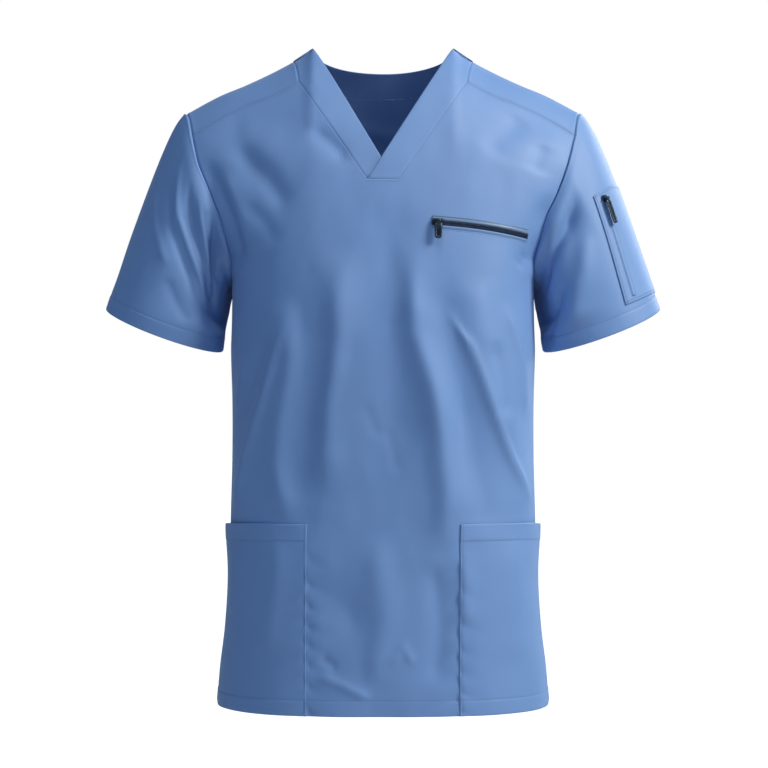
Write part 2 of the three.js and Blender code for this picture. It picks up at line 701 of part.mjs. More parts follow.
// The lower patch pockets lie on the front panel's own points, and gape at the side of the mouth.
function pocketMesh(name, mirror) {
  const firstRow = FRONT_UPPER_ROWS + WAIST_ROWS;
  const grid = frontGrid.slice(firstRow).map((line) => {
    const inner = columnAt(mirror * SHOULDER_COLUMN);
    const outer = columnAt(mirror * COLUMN_COUNT);
    return mirror > 0 ? line.slice(inner, outer + 1) : line.slice(outer, inner + 1);
  });
  const lift = (row, column) => {
    const across = (mirror > 0 ? column : SHOULDER_COLUMNS - column) / SHOULDER_COLUMNS;
    const below = POCKET_MOUTH_Z - grid[row][column].z;
    return CLOTH + LYING_GAP + POCKET_GAPE * across ** POCKET_GAPE_POWER * exp(-((below / POCKET_GAPE_LENGTH) ** 2));
  };
  addMesh(name, clothGeometry(grid, { book: shellBook, turn: 1, lift }), 'cloth');
}

pocketMesh('pocket_left', 1);
pocketMesh('pocket_right', -1);

// A piece of cloth or tape that lies on the shell, from its own grid of places.
function lyingGeometry(grid, turn, wall, gap) {
  const book = new Map();
  addNormals(book, grid, turn);
  return clothGeometry(grid, { book, turn, wall, lift: wall + gap, trim: 0 });
}

// The sleeve patch pocket on the wearer's left sleeve.
function onSleevePocket(across, down) {
  const { front, back } = SLEEVE_POCKET;
  const share = mix(mix(front.top, front.low, down), mix(back.top, back.low, down), across);
  const alongTop = mix(front.topAlong, back.topAlong, across);
  const alongLow = mix(front.lowAlong, back.lowAlong, across);
  return onSleeve(1, share, mix(alongTop, alongLow, down));
}

const sleevePocketGrid = steps(SLEEVE_POCKET_ROWS).map((down) =>
  steps(SLEEVE_POCKET_COLUMNS).map((across) => onSleevePocket(across, down)));
addMesh('sleeve_pocket', lyingGeometry(sleevePocketGrid, 1, SLEEVE_POCKET_WALL, SLEEVE_POCKET_GAP), 'cloth');

// A strip of zip tape along a line of places, each with its way out and its way across.
function tapeGeometry(places, wide, thick, gap) {
  const positions = places.map(({ point, across }) => [
    point.clone().addScaledVector(across, wide / 2),
    point.clone(),
    point.clone().addScaledVector(across, -wide / 2),
  ]);
  return lyingGeometry(positions, -1, thick, gap);
}

// The frame of a place on a surface: along the hinge, up, and out of the surface.
function surfaceFrame(at, alongNext, upNext) {
  const along = alongNext.clone().sub(at).normalize();
  const out = along.clone().cross(upNext.clone().sub(at)).normalize();
  return { point: at, along, out, up: out.clone().cross(along) };
}

const PROBE = 0.02;

function chestZipFrame(t) {
  const place = (share, lift) => {
    const z = mix(CHEST_ZIP.z1, CHEST_ZIP.z2, share) + CHEST_ZIP.arch * 4 * share * (1 - share);
    return frontPoint(mix(CHEST_ZIP.x1, CHEST_ZIP.x2, share), z + lift);
  };
  return surfaceFrame(place(t, 0), place(t + PROBE, 0), place(t, CHEST_ZIP.high / 2));
}

function sleeveZipFrame(t) {
  const place = (share, shift) => onSleevePocket(SLEEVE_ZIP.across - shift, mix(SLEEVE_ZIP.top, SLEEVE_ZIP.low, share));
  const at = place(t, 0);
  const down = place(t + PROBE, 0);
  const across = place(t, -PROBE);
  const up = at.clone().sub(down).normalize();
  const out = across.clone().sub(at).cross(up).normalize();
  return { point: at, along: up.clone().cross(out), out, up };
}

const chestPlaces = steps(CHEST_ZIP_STEPS).map((t) => {
  const { point, up } = chestZipFrame(t);
  return { point, across: up };
});
addMesh('zip_chest_tape', tapeGeometry(chestPlaces, CHEST_ZIP.high, CHEST_ZIP.thick, TAPE_GAP), 'tape');

const sleevePlaces = steps(SLEEVE_ZIP_STEPS).map((t) => {
  const { point, along, out } = sleeveZipFrame(t);
  return { point: point.clone().addScaledVector(out, SLEEVE_POCKET_WALL + SLEEVE_POCKET_GAP), across: along };
});
addMesh('zip_sleeve_tape', tapeGeometry(sleevePlaces, SLEEVE_ZIP.wide, SLEEVE_ZIP.thick, TAPE_GAP), 'tape');

// Joins and cuts for the sliders and pull tabs
function toSolid(geometry) {
  for (const name of ['normal', 'uv']) geometry.deleteAttribute(name);
  const merged = mergeVertices(geometry, 1e-4);
  const vertProperties = new Float32Array(merged.attributes.position.array);
  const triVerts = new Uint32Array(merged.index.array);
  return new wasm.Manifold(new wasm.Mesh({ numProp: 3, vertProperties, triVerts }));
}

function toGeometry(solid) {
  const mesh = solid.getMesh();
  const geometry = new THREE.BufferGeometry();
  geometry.setAttribute('position', new THREE.BufferAttribute(new Float32Array(mesh.vertProperties), 3));
  geometry.setIndex(new THREE.BufferAttribute(new Uint32Array(mesh.triVerts), 1));
  return geometry;
}

function roundedPlate(wide, high, thick, radius) {
  const shape = new THREE.Shape();
  const [w, h] = [wide / 2 - radius, high / 2 - radius];
  shape.absarc(w, h, radius, 0, PI / 2);
  shape.absarc(-w, h, radius, PI / 2, PI);
  shape.absarc(-w, -h, radius, PI, 1.5 * PI);
  shape.absarc(w, -h, radius, 1.5 * PI, 2 * PI);
  return new THREE.ExtrudeGeometry(shape, { depth: thick, bevelEnabled: false, curveSegments: CORNER_STEPS });
}

const hingeHeight = (slider) => slider.thick + KNUCKLE_CLEAR + KNUCKLE_RADIUS;

function barAlongX(radius, long) {
  return toSolid(new THREE.CylinderGeometry(radius, radius, long, HINGE_SIDES).rotateZ(PI / 2));
}

// A slider: a plate with two posts that carry the hinge bar of its pull tab.
function sliderSolid(slider) {
  const height = hingeHeight(slider);
  const reach = slider.knuckle / 2 + POST.gap;
  let solid = toSolid(roundedPlate(slider.wide, slider.high, slider.thick, CORNER_RADIUS));
  for (const way of [-1, 1]) {
    const tall = height - slider.thick / 2 + POST.high / 2;
    const post = new THREE.BoxGeometry(POST.thick, POST.high, tall);
    post.translate(way * (reach + POST.thick / 2), 0, slider.thick / 2 + tall / 2);
    solid = solid.add(toSolid(post));
  }
  return solid.add(barAlongX(BAR_RADIUS, 2 * reach + POST.thick).translate(0, 0, height));
}

// A pull tab: a flat plate that hangs from a knuckle round the bar.
function tabSolid(slider, tab) {
  const height = hingeHeight(slider);
  const plate = roundedPlate(tab.wide, tab.long, tab.thick, CORNER_RADIUS);
  plate.translate(0, -KNUCKLE_RADIUS - POST.gap - tab.long / 2, height - tab.thick / 2);
  const neckLong = KNUCKLE_RADIUS + POST.gap + CORNER_RADIUS;
  const neck = new THREE.BoxGeometry(slider.knuckle, neckLong, tab.thick);
  neck.translate(0, -neckLong / 2, height);
  const knuckle = barAlongX(KNUCKLE_RADIUS, slider.knuckle).translate(0, 0, height);
  const bore = barAlongX(KNUCKLE_BORE, 2 * slider.knuckle).translate(0, 0, height);
  return toSolid(plate).add(toSolid(neck)).add(knuckle).subtract(bore);
}

// Places a slider and its tab on a zip, clear of the tape.
function addHardware(name, frame, lift, slider, tab) {
  const matrix = new THREE.Matrix4().makeBasis(frame.along, frame.up, frame.out);
  matrix.setPosition(frame.point.clone().addScaledVector(frame.out, lift));
  addMesh(`${name}_slider`, toGeometry(sliderSolid(slider)).applyMatrix4(matrix), 'metal');
  addMesh(`${name}_pull`, toGeometry(tabSolid(slider, tab)).applyMatrix4(matrix), 'metal');
}

const chestLift = TAPE_GAP + CHEST_ZIP.thick + HARDWARE_GAP;
addHardware('zip_chest', chestZipFrame(CHEST_SLIDER_PLACE), chestLift, CHEST_SLIDER, CHEST_TAB);
const sleeveLift = SLEEVE_POCKET_WALL + SLEEVE_POCKET_GAP + TAPE_GAP + SLEEVE_ZIP.thick + HARDWARE_GAP;
addHardware('zip_sleeve', sleeveZipFrame(SLEEVE_SLIDER_PLACE), sleeveLift, SLEEVE_SLIDER, SLEEVE_TAB);

export default group;
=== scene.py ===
"""A short-sleeved V-neck medical scrub top, filled out as worn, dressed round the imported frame.

Shapes are worked out in millimetres and become metres where a mesh is made.
+Z is up, the front looks towards -Y, and +X is the wearer's left.
"""
import json
import math
import bpy
import numpy as np
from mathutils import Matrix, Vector


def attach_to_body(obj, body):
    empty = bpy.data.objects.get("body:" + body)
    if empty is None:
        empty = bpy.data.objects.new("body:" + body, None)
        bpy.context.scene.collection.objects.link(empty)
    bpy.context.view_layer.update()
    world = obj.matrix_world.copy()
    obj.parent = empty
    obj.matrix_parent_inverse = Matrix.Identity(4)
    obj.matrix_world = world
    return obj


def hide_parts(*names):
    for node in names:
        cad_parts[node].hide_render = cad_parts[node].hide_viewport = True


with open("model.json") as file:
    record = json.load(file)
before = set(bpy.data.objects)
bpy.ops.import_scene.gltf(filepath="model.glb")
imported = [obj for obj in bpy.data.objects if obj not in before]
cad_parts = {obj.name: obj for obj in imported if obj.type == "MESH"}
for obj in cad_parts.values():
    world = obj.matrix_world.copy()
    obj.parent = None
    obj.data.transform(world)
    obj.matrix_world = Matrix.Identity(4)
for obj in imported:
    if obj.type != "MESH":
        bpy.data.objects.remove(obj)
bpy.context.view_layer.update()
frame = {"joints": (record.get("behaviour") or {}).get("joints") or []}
MM, WHOLE_TURN = 0.001, 6.28

# Heights of the body's main levels
UNDERARM_Z, POCKET_MOUTH_Z, VENT_TOP_Z, HEM_Z = -262, -536, -640, -746

# Neckline: the V's point, its level bottom seam, and where the neck edge meets the shoulder
V_POINT = (-2, -130)
V_BOTTOM_HALF, V_BOTTOM_Z = 17.5, -155
NECK_EDGE_X, NECK_EDGE_Z = 80, 3.4
BAND_SEAM_X = 103
YOKE_START = (95, -40)
BAND_AT_YOKE = (64, -23)
BACK_NECK_Z, BACK_SEAM_Z = -20, -48
SHOULDER_X, YOKE_END_X = 226, 217

# Shoulder line and front yoke seam: x, z
SHOULDER_LINE = [(80, 3.4), (90, -5), (103, -12), (130, -26), (160, -40), (185, -50), (203, -59), (226, -72)]
YOKE_SEAM = [(95, -40), (125, -56), (145, -63), (176, -76), (196, -87), (217, -100)]

# Armhole seam: z, x, depth in front, depth behind
ARMHOLE = [
    (-72, 226, 0, 0), (-85, 222.5, -24, 27), (-100, 217, -35, 39), (-138, 207, -55, 55),
    (-177, 193, -62, 61), (-192, 187, -61.5, 60), (-220, 178.5, -52, 51), (-237, 174.5, -42, 42),
    (-250, 172.8, -30, 30), (-258.5, 172.6, -16, 16), (-262, 172.5, 0, 0),
]

# Level sections: z, depth of the front's middle, depth of the back's middle
DEPTHS = [
    (-40, -55, 52), (-100, -86, 80), (-155, -105, 98), (-205, -116, 107), (-262, -123, 112),
    (-330, -126, 108), (-400, -124, 102), (-460, -121, 100), (-536, -123, 105), (-640, -127, 116),
    (-746, -130, 124),
]
HALF_WIDTHS = [
    (-262, 172.5), (-310, 173), (-345, 174), (-400, 172.5), (-460, 172.5), (-520, 174),
    (-600, 176), (-660, 180), (-706, 185.5), (-746, 188),
]
BOXINESS, SHOULDER_ROUNDNESS = 2.6, 2
SLOPES = {"front": -8.4, "back": 8}
LATERAL_DROP = {"front": 0.27, "back": 0.2}
ARMHOLE_CUT_BACK, EDGE_PULL = 0.13, 6
# Above the first height the cloth begins to hang from the shoulder, above the second it only hangs
HANG_START_Z, HANG_FULL_Z = -140, -80

# Broad folds of the solids: x and z of both ends, how far they stand out, half-width
BROAD_FOLDS = {
    "front": [
        (-117, -310, -164, -520, 5, 17), (-64, -340, -94, -520, -6, 24), (16, -215, 18, -420, -4, 26),
        (100, -290, 158, -505, 5, 17), (66, -305, 112, -520, -6, 22), (48, -305, 82, -510, 3.5, 17),
        (-172, -110, -118, -180, -4, 20), (-60, -610, -24, -650, -3, 18),
    ],
    "back": [
        (-95, -250, -128, -480, 5, 20), (-45, -300, -62, -520, -6, 24), (0, -330, 6, -600, 4, 22),
        (50, -290, 66, -500, -6, 24), (98, -240, 132, -470, 5, 20),
    ],
}

# Finer folds on the broad ones: how far out, half-width, then the places x, z along each
CREASES = {
    "front": [
        (5.0, 5, (-107, -302), (-123, -356), (-132, -404), (-149, -465), (-160, -524)),
        (5.0, 5, (73, -290), (97, -338), (115, -386), (130, -423), (151, -482), (164, -526)),
        (8.5, 19, (32, -215), (34, -325), (54, -404), (72, -500), (70, -575)),
        (7.5, 18, (-46, -225), (-44, -325), (-56, -410), (-64, -510)),
        (6.0, 15, (-100, -280), (-106, -380), (-112, -470), (-104, -550)),
        (5.0, 19, (-10, -540), (0, -640), (-6, -715)),
        (-4.5, 17, (55, -570), (62, -650), (52, -720)),
        (3.2, 14, (-118, -545), (-120, -620), (-124, -690)),
        (3.0, 12, (-165, -560), (-168, -640)),
        (2.6, 12, (92, -560), (94, -650)),
        (3.2, 14, (140, -550), (143, -640), (146, -700)),
        (3.5, 6, (-153, -340), (-164, -420)),
        (3.5, 7, (133, -289), (153, -351), (166, -420)),
        (-4.5, 9, (-130, -325), (-154, -425)),
        (-4.0, 8, (121, -330), (141, -420)),
        (-6.0, 9, (-200, -125), (-184, -180), (-170, -225), (-164, -262)),
        (3.0, 9, (-184, -140), (-170, -190), (-158, -235)),
        (-4.0, 9, (194, -165), (178, -205), (167, -250)),
        (-4.0, 13, (-88, -98), (-44, -138)),
        (-4.0, 17, (-172, -112), (-132, -156), (-108, -190)),
        (-3.0, 14, (-166, -182), (-137, -206), (-120, -232)),
        (-0.9, 6, (-16, -400), (-5, -443)),
        (-1.0, 6, (3, -425), (15, -482)),
        (-3.0, 17, (118, -128), (158, -78)),
        (-2.5, 13, (180, -112), (169, -146)),
        (-3.0, 8, (164, -230), (154, -252)),
        (2.6, 5, (-82, -704), (-47, -713), (-8, -725)),
        (-2.2, 6, (-74, -683), (-52, -695)),
        (1.8, 5, (8, -692), (21, -670), (35, -692)),
    ],
    "back": [
        (4.2, 7, (-98, -262), (-112, -360), (-134, -470)),
        (4.2, 7, (104, -250), (118, -350), (139, -462)),
        (-4.5, 10, (-120, -300), (-146, -420)),
        (-4.5, 10, (126, -290), (150, -410)),
        (3.2, 8, (-20, -330), (-30, -470), (-24, -560)),
        (3.2, 8, (28, -350), (34, -480), (22, -590)),
        (-4.8, 12, (-190, -150), (-150, -205), (-112, -238)),
        (-4.8, 12, (188, -146), (152, -200), (116, -240)),
        (2.9, 9, (-176, -200), (-140, -240)),
        (2.9, 9, (178, -204), (146, -250)),
        (-2.6, 9, (-80, -78), (0, -92), (78, -76)),
        (-2.4, 8, (-40, -640), (-10, -700)),
        (2.4, 7, (60, -630), (92, -690)),
        (-2.4, 8, (-110, -610), (-130, -690)),
    ],
}

# Sleeve: the cuff is an ellipse, tilted and leaning back
CUFF_OUTER, CUFF_INNER = (318, -295), (184, -344)
CUFF_HALF_DEPTH, CUFF_LEAN = 62, math.radians(9)
CAP_BULGE, SIDE_BULGE = 9, 8
# Folds of the solids: share round, share along, the same at the other end, out, half-width
SLEEVE_FOLDS = [(0.33, 0.1, 0.62, 0.62, -4, 0.09), (0.5, 0.04, 0.82, 0.5, 4, 0.08)]

# Thickness of the cloth, and rows of stitches by their distance from the border
CLOTH = 1.0
HEM_STITCH, TOPSTITCH, PATCH_STITCH, BACK_BAND_STITCH, MOUTH_STITCH = 17, 3.1, 2.7, 6, 19

# Both sides of the top: word, and which way x runs
SIDES = (("left", 1), ("right", -1))


# Small helpers
def mix(a, b, t):
    return a + (b - a) * t


def ease(t):
    return t * t * (3 - 2 * t)


def rise(start, end, at):
    return ease(np.clip((at - start) / (end - start), 0, 1))


def bell(distance, wide):
    return np.exp(-(distance / wide) ** 2)


def unit(vectors):
    return vectors / np.maximum(np.linalg.norm(vectors, axis=-1, keepdims=True), 1e-9)


def run_along(points):
    """Length along a row of points, up to each of them."""
    return np.concatenate([[0], np.cumsum(np.linalg.norm(np.diff(points, axis=0), axis=-1))])


def curve(rows, column=1):
    """A smooth curve through a table, whose first column says where."""
    rows = sorted(rows)
    at = np.array([row[0] for row in rows], float)
    value = np.array([row[column] for row in rows], float)
    order = np.arange(len(at))
    before, after = np.maximum(order - 1, 0), np.minimum(order + 1, len(at) - 1)
    slope = (value[after] - value[before]) / (at[after] - at[before])

    def read(where):
        where = np.clip(np.asarray(where, float), at[0], at[-1])
        i = np.clip(np.searchsorted(at, where, side="right") - 1, 0, len(at) - 2)
        step = at[i + 1] - at[i]
        t = (where - at[i]) / step
        bend = t * (1 - t) * step
        return mix(value[i], value[i + 1], ease(t)) + bend * ((1 - t) * slope[i] - t * slope[i + 1])
    return read


def waves(seed, count, long_u, long_v):
    """A soft random surface, mostly from -1 to 1: sine waves of at least the given lengths."""
    random = np.random.default_rng(seed)
    rows = random.uniform([-1, -1, 0, 0.6], [1, 1, WHOLE_TURN, 1.0], (count, 4))

    def read(u, v):
        total = 0
        for a, b, phase, strength in rows:
            total = total + strength * np.sin(WHOLE_TURN * (a * u / long_u + b * v / long_v) + phase)
        return total / math.sqrt(count)
    return read


shoulder_z = curve(SHOULDER_LINE)
yoke_seam_z = curve(YOKE_SEAM)
armhole_x = curve(ARMHOLE)
half_width = curve(HALF_WIDTHS)
depth = {"front": curve(DEPTHS, 1), "back": curve(DEPTHS, 2)}
armhole_y = {"front": curve(ARMHOLE, 2), "back": curve(ARMHOLE, 3)}
wander_x = {"front": waves(3, 5, 110, 150), "back": waves(4, 5, 110, 150)}
ripple = {"front": waves(11, 9, 70, 130), "back": waves(12, 9, 70, 130)}
fine_ripple = {"front": waves(21, 9, 26, 52), "back": waves(22, 9, 26, 52)}


# Steps of height over which the change of section at the underarm is evened out
UNDERARM_EASE = np.linspace(-22, 22, 7)


def evened(section, z):
    return sum(section(z + step) for step in UNDERARM_EASE) / len(UNDERARM_EASE)


def side_x(z):
    return np.where(z > UNDERARM_Z, armhole_x(z), half_width(z))


def section_y(side, share, z):
    """Depth of a level section at a share of its half-width."""
    edge = np.where(z > UNDERARM_Z, armhole_y[side](z), 0)
    boxy = mix(BOXINESS, SHOULDER_ROUNDNESS, rise(UNDERARM_Z, -160, z))
    reach = 1 - ARMHOLE_CUT_BACK * rise(UNDERARM_Z, -180, z)

    def profile(k):
        return depth[side](z) * np.maximum(0, 1 - (k * reach) ** boxy) ** (1 / boxy)
    across = np.minimum(1, np.abs(share))
    return profile(across) + (edge - profile(1)) * across ** EDGE_PULL


def shoulder_y(side, x, z):
    """Depth of the cloth that hangs from the shoulder line."""
    drop = np.maximum(0, shoulder_z(np.abs(x)) - z)
    return SLOPES[side] * np.sqrt(drop) * (1 - LATERAL_DROP[side] * (x / YOKE_END_X) ** 2)


def nearest_on(x, z, x1, z1, x2, z2):
    """Share along a segment and distance from it."""
    run_x, run_z = x2 - x1, z2 - z1
    t = np.clip(((x - x1) * run_x + (z - z1) * run_z) / (run_x ** 2 + run_z ** 2), 0, 1)
    return t, np.hypot(x - x1 - t * run_x, z - z1 - t * run_z)


def broad_out(folds, x, z):
    out = 0
    for x1, z1, x2, z2, high, wide in folds:
        t, away = nearest_on(x, z, x1, z1, x2, z2)
        out = out + high * bell(away, wide) * (1 - 0.5 * np.abs(2 * t - 1))
    return out


def crease_out(creases, x, z):
    """Crisp creases along bent lines, which fade out at both ends."""
    out = 0
    for high, wide, *places in creases:
        pieces = list(zip(places, places[1:]))
        lengths = [math.dist(a, b) for a, b in pieces]
        best = np.full(np.shape(x), 1e9)
        along = np.zeros(np.shape(x))
        done = 0
        for (a, b), length in zip(pieces, lengths):
            t, away = nearest_on(x, z, *a, *b)
            closer = away < best
            best = np.where(closer, away, best)
            along = np.where(closer, (done + t * length) / sum(lengths), along)
            done += length
        fade = rise(0, 0.25, along) * rise(1, 0.8, along)
        out = out + high * fade * (1 + (best / wide) ** 2) ** -1.5
    return out


# The chest zip and the places where the cloth must lie as the solids do: x, z, radius
CHEST_ZIP = dict(x1=54, z1=-203, x2=161, z2=-216, arch=2, high=12, long=107)
POCKET_INNER_X = 84
QUIET_SPOTS = [(62, -212, 30), (108, -206, 42), (155, -214, 26)]
PUCKER_DEPTH, PUCKER_SPACING, PUCKER_REACH = 2.0, 4.2, 9


def pucker_out(x, z):
    """Small ripples that the pocket seams draw into the cloth beside them."""
    away = np.abs(x) - POCKET_INNER_X
    phase = z / PUCKER_SPACING + 2.4 * np.sin(z / 37 + np.sign(x)) + 2.2 * np.sign(away) + 0.12 * np.abs(away)
    pinch = (0.5 + 0.5 * np.sin(phase)) ** 3
    beside = rise(0, 2.5, np.abs(away)) * np.exp(-np.abs(away) / PUCKER_REACH) * rise(-545, -600, z)
    return -PUCKER_DEPTH * pinch * beside


def detail_out(side, x, z):
    """Everything finer than the solids' own folds."""
    shift = 5 * wander_x[side](x, z)
    moved_x, moved_z = x + shift, z + 0.6 * shift
    out = crease_out(CREASES[side], moved_x, moved_z)
    out = out + 0.9 * ripple[side](moved_x, moved_z) + 0.22 * fine_ripple[side](moved_x, z)
    if side == "front":
        out = out + pucker_out(x, z)
        for quiet_x, quiet_z, wide in QUIET_SPOTS:
            out = out * (1 - bell(np.hypot(x - quiet_x, 1.5 * (z - quiet_z)), wide))
    return out


def body_point(side, x, z, detail=1.0):
    """A point of the body's cloth, from its place across and its height."""
    x, z = np.broadcast_arrays(np.asarray(x, float), np.asarray(z, float))
    half = side_x(z)
    half = mix(evened(side_x, z), half, rise(0.75, 1, np.abs(x) / half))
    share = x / half
    even_low = evened(lambda height: section_y(side, share, height), z)
    low = mix(even_low, section_y(side, share, z), rise(0.9, 1, np.abs(share)))
    hanging = mix(low, shoulder_y(side, x, z), rise(HANG_START_Z, HANG_FULL_Z, z))
    y = np.where(z > HANG_START_Z, hanging, low)
    outwards = unit(np.stack([x / half ** 2, y / depth[side](z) ** 2, np.zeros_like(x)], -1))
    near_side = rise(1, 0.93, np.abs(share))
    keep = mix(near_side, 1, rise(UNDERARM_Z, -235, z)) * rise(0, -30, z - shoulder_z(np.abs(x)))
    moved = broad_out(BROAD_FOLDS[side], x, z) * near_side + detail * detail_out(side, x, z) * keep
    return np.stack([x, y, z], -1) + outwards * moved[..., None]


# Places across a half panel, as columns 0 to 15: V bottom, neck slope to 6, then out to the side
NECK_COLUMN, LAST_COLUMN = 6, 15
VENT_OPEN = 3


def neck_share(column):
    return np.clip((column - 1) / (NECK_COLUMN - 1), 0, 1)


def side_share(column):
    return np.clip((column - NECK_COLUMN) / (LAST_COLUMN - NECK_COLUMN), 0, 1)


def low_share(column, z):
    """Share of the half-width of a column, from the underarm level down."""
    half = half_width(z)
    inner = np.minimum(column, 1) * V_BOTTOM_HALF + (POCKET_INNER_X - V_BOTTOM_HALF) * neck_share(column)
    start = np.arcsin((POCKET_INNER_X / half) ** (BOXINESS / 2))
    angle = mix(start, math.pi / 2, side_share(column))
    return np.where(column <= NECK_COLUMN, inner / half, np.sin(angle) ** (2 / BOXINESS))


def top_edge(side, column):
    """x and z of a panel's top edge at a column."""
    outer = side_share(column)
    if side == "front":
        slope = neck_share(column)
        x = np.minimum(column, 1) * V_BOTTOM_HALF + (YOKE_START[0] - V_BOTTOM_HALF) * slope
        x = x + (YOKE_END_X - YOKE_START[0]) * outer
        z = np.where(column <= NECK_COLUMN, mix(V_BOTTOM_Z, YOKE_START[1], slope), yoke_seam_z(x))
        return x, z
    turn = np.clip(column / NECK_COLUMN, 0, 1) * math.pi / 2
    x = BAND_SEAM_X * np.sin(turn) + (SHOULDER_X - BAND_SEAM_X) * outer
    neck_z = mix(BACK_SEAM_Z, shoulder_z(BAND_SEAM_X), 1 - np.cos(turn))
    return x, np.where(column <= NECK_COLUMN, neck_z, shoulder_z(x))


def upper_points(side, column, mirror, t):
    """Points of a panel between its top edge, t 0, and the underarm level, t 1."""
    top_x, top_z = top_edge(side, column)
    z = mix(top_z, UNDERARM_Z, t)
    share = mix(top_x / armhole_x(top_z), low_share(column, UNDERARM_Z), t)
    return body_point(side, mirror * share * side_x(z), z)


def lower_points(side, column, mirror, z):
    """Points of a panel at a height below the underarm level, with the vents a little open."""
    points = body_point(side, mirror * low_share(column, z) * half_width(z), z)
    down = np.clip((VENT_TOP_Z - z) / (VENT_TOP_Z - HEM_Z), 0, 1)
    open_by = VENT_OPEN * down * ease(np.clip(column - LAST_COLUMN + 1, 0, 1))
    points[..., 1] += -open_by if side == "front" else open_by
    if side == "back":
        points[..., 0] += mirror * open_by
    return points


# Fine lines beside a border, in millimetres from it
BESIDE = np.array([0, 0.7, 1.4, 2.2, 3.1, 4.0, 5.2])
HEM_LINES = np.array([0, 0.7, 1.5, 3, 5.5, 8.5, 11.5, 14, 15.4, 16.3, 17, 17.7, 18.6, 20, 22.5])
FINE_STEP = 4.0
UPPER_ROWS = 48
EDGE_PROBE = 0.3


def spread(start, end, step):
    """Evenly spaced numbers from start to end, about a step apart, without the first."""
    count = max(1, round(abs(end - start) / step))
    return np.linspace(start, end, count + 1)[1:]


def panel_columns():
    """Columns of a half panel; those beside the side edge are told by millimetres instead."""
    lines = [np.array([0.0]), spread(0, 1, 0.25), spread(1, 5.6, 0.27)]
    beside = BESIDE[1:] / ((YOKE_END_X - YOKE_START[0]) / (LAST_COLUMN - NECK_COLUMN))
    lines += [NECK_COLUMN - beside[1::2][::-1], [NECK_COLUMN], NECK_COLUMN + beside]
    lines += [spread(NECK_COLUMN + beside[-1], 14.25, 0.27)]
    return np.concatenate(lines)


INNER_COLUMNS = panel_columns()
CORNER_INDEX = int(np.argmin(np.abs(INNER_COLUMNS - 1)))
NECK_INDEX = int(np.argmin(np.abs(INNER_COLUMNS - NECK_COLUMN)))
SIDE_INDEX = len(INNER_COLUMNS) + len(BESIDE) - 1


def all_columns(points_of, rows):
    """All columns for each row: the inner ones, then those at set distances from the side edge."""
    at_edge = points_of(np.full(rows, float(LAST_COLUMN)))
    inside = points_of(np.full(rows, LAST_COLUMN - EDGE_PROBE))
    millimetres_per_column = np.linalg.norm(at_edge - inside, axis=-1) / EDGE_PROBE
    beside = LAST_COLUMN - BESIDE[::-1][None] / millimetres_per_column[:, None]
    return np.concatenate([np.repeat(INNER_COLUMNS[None], rows, 0), beside], 1)


def half_panel(side, mirror):
    """Half a panel: rows from the top edge down, columns from the middle to the side."""
    def upper(column, t):
        return upper_points(side, column, mirror, t)

    def lower(column, z):
        return lower_points(side, column, mirror, z)

    def shares_down(column):
        """Rows beside the top edge lie at set distances from it."""
        rough = np.linspace(0, 1, 12)
        line = upper(np.full(len(rough), column), rough)
        start = BESIDE / np.linalg.norm(np.diff(line, axis=0), axis=-1).sum()
        return np.concatenate([start, mix(start[-1], 1, np.linspace(0, 1, UPPER_ROWS + 1)[1:])])
    side_t = shares_down(float(LAST_COLUMN))
    columns = all_columns(lambda column: upper(column, side_t), len(side_t))
    top = upper(columns, np.stack([shares_down(column) for column in columns[0]], 1))
    z = np.concatenate([
        spread(UNDERARM_Z, POCKET_MOUTH_Z, FINE_STEP),
        spread(POCKET_MOUTH_Z, HEM_Z + HEM_LINES[-1], FINE_STEP),
        (HEM_Z + HEM_LINES[:-1])[::-1],
    ])
    columns = all_columns(lambda column: lower(column, z), len(z))
    return np.concatenate([top, lower(columns, np.repeat(z[:, None], columns.shape[1], 1))])


def whole_panel(side):
    left, right = half_panel(side, 1), half_panel(side, -1)
    return np.concatenate([right[:, :0:-1], left], 1)


front_grid = whole_panel("front")
back_grid = whole_panel("back")
UNDERARM_ROW = len(BESIDE) + UPPER_ROWS - 1


def column_index(mirror, index):
    return SIDE_INDEX + mirror * index


def signed_columns(indices):
    """Columns of both halves, negative on the wearer's right."""
    return np.array([math.copysign(INNER_COLUMNS[abs(i)], i) for i in indices])


def shares_across(wide, inner):
    """Shares across a narrow piece: set distances from both borders, and even rows between them."""
    beside = BESIDE[:, None] / BESIDE[-1] * np.minimum(BESIDE[-1] / wide[None], 0.2)
    return np.concatenate([beside, np.repeat(inner[:, None], len(wide), 1), 1 - beside[::-1]])


def yoke_grid(mirror):
    """A front shoulder yoke: rows from the shoulder seam down to the front panel."""
    indices = column_index(mirror, np.arange(NECK_INDEX, SIDE_INDEX + 1))
    low, high = front_grid[0][indices], back_grid[0][indices]
    r = shares_across(np.linalg.norm(high - low, axis=-1), np.linspace(0, 1, 12)[2:-2])
    points = mix(high[None], low[None], r[..., None])
    points[..., 2] = mix(high[None, :, 2], low[None, :, 2], r * r)
    points[..., 2] += 1.2 * np.sin(math.pi * r) * ripple["front"](points[..., 0], points[..., 2])
    return points


yokes = {1: yoke_grid(1), -1: yoke_grid(-1)}


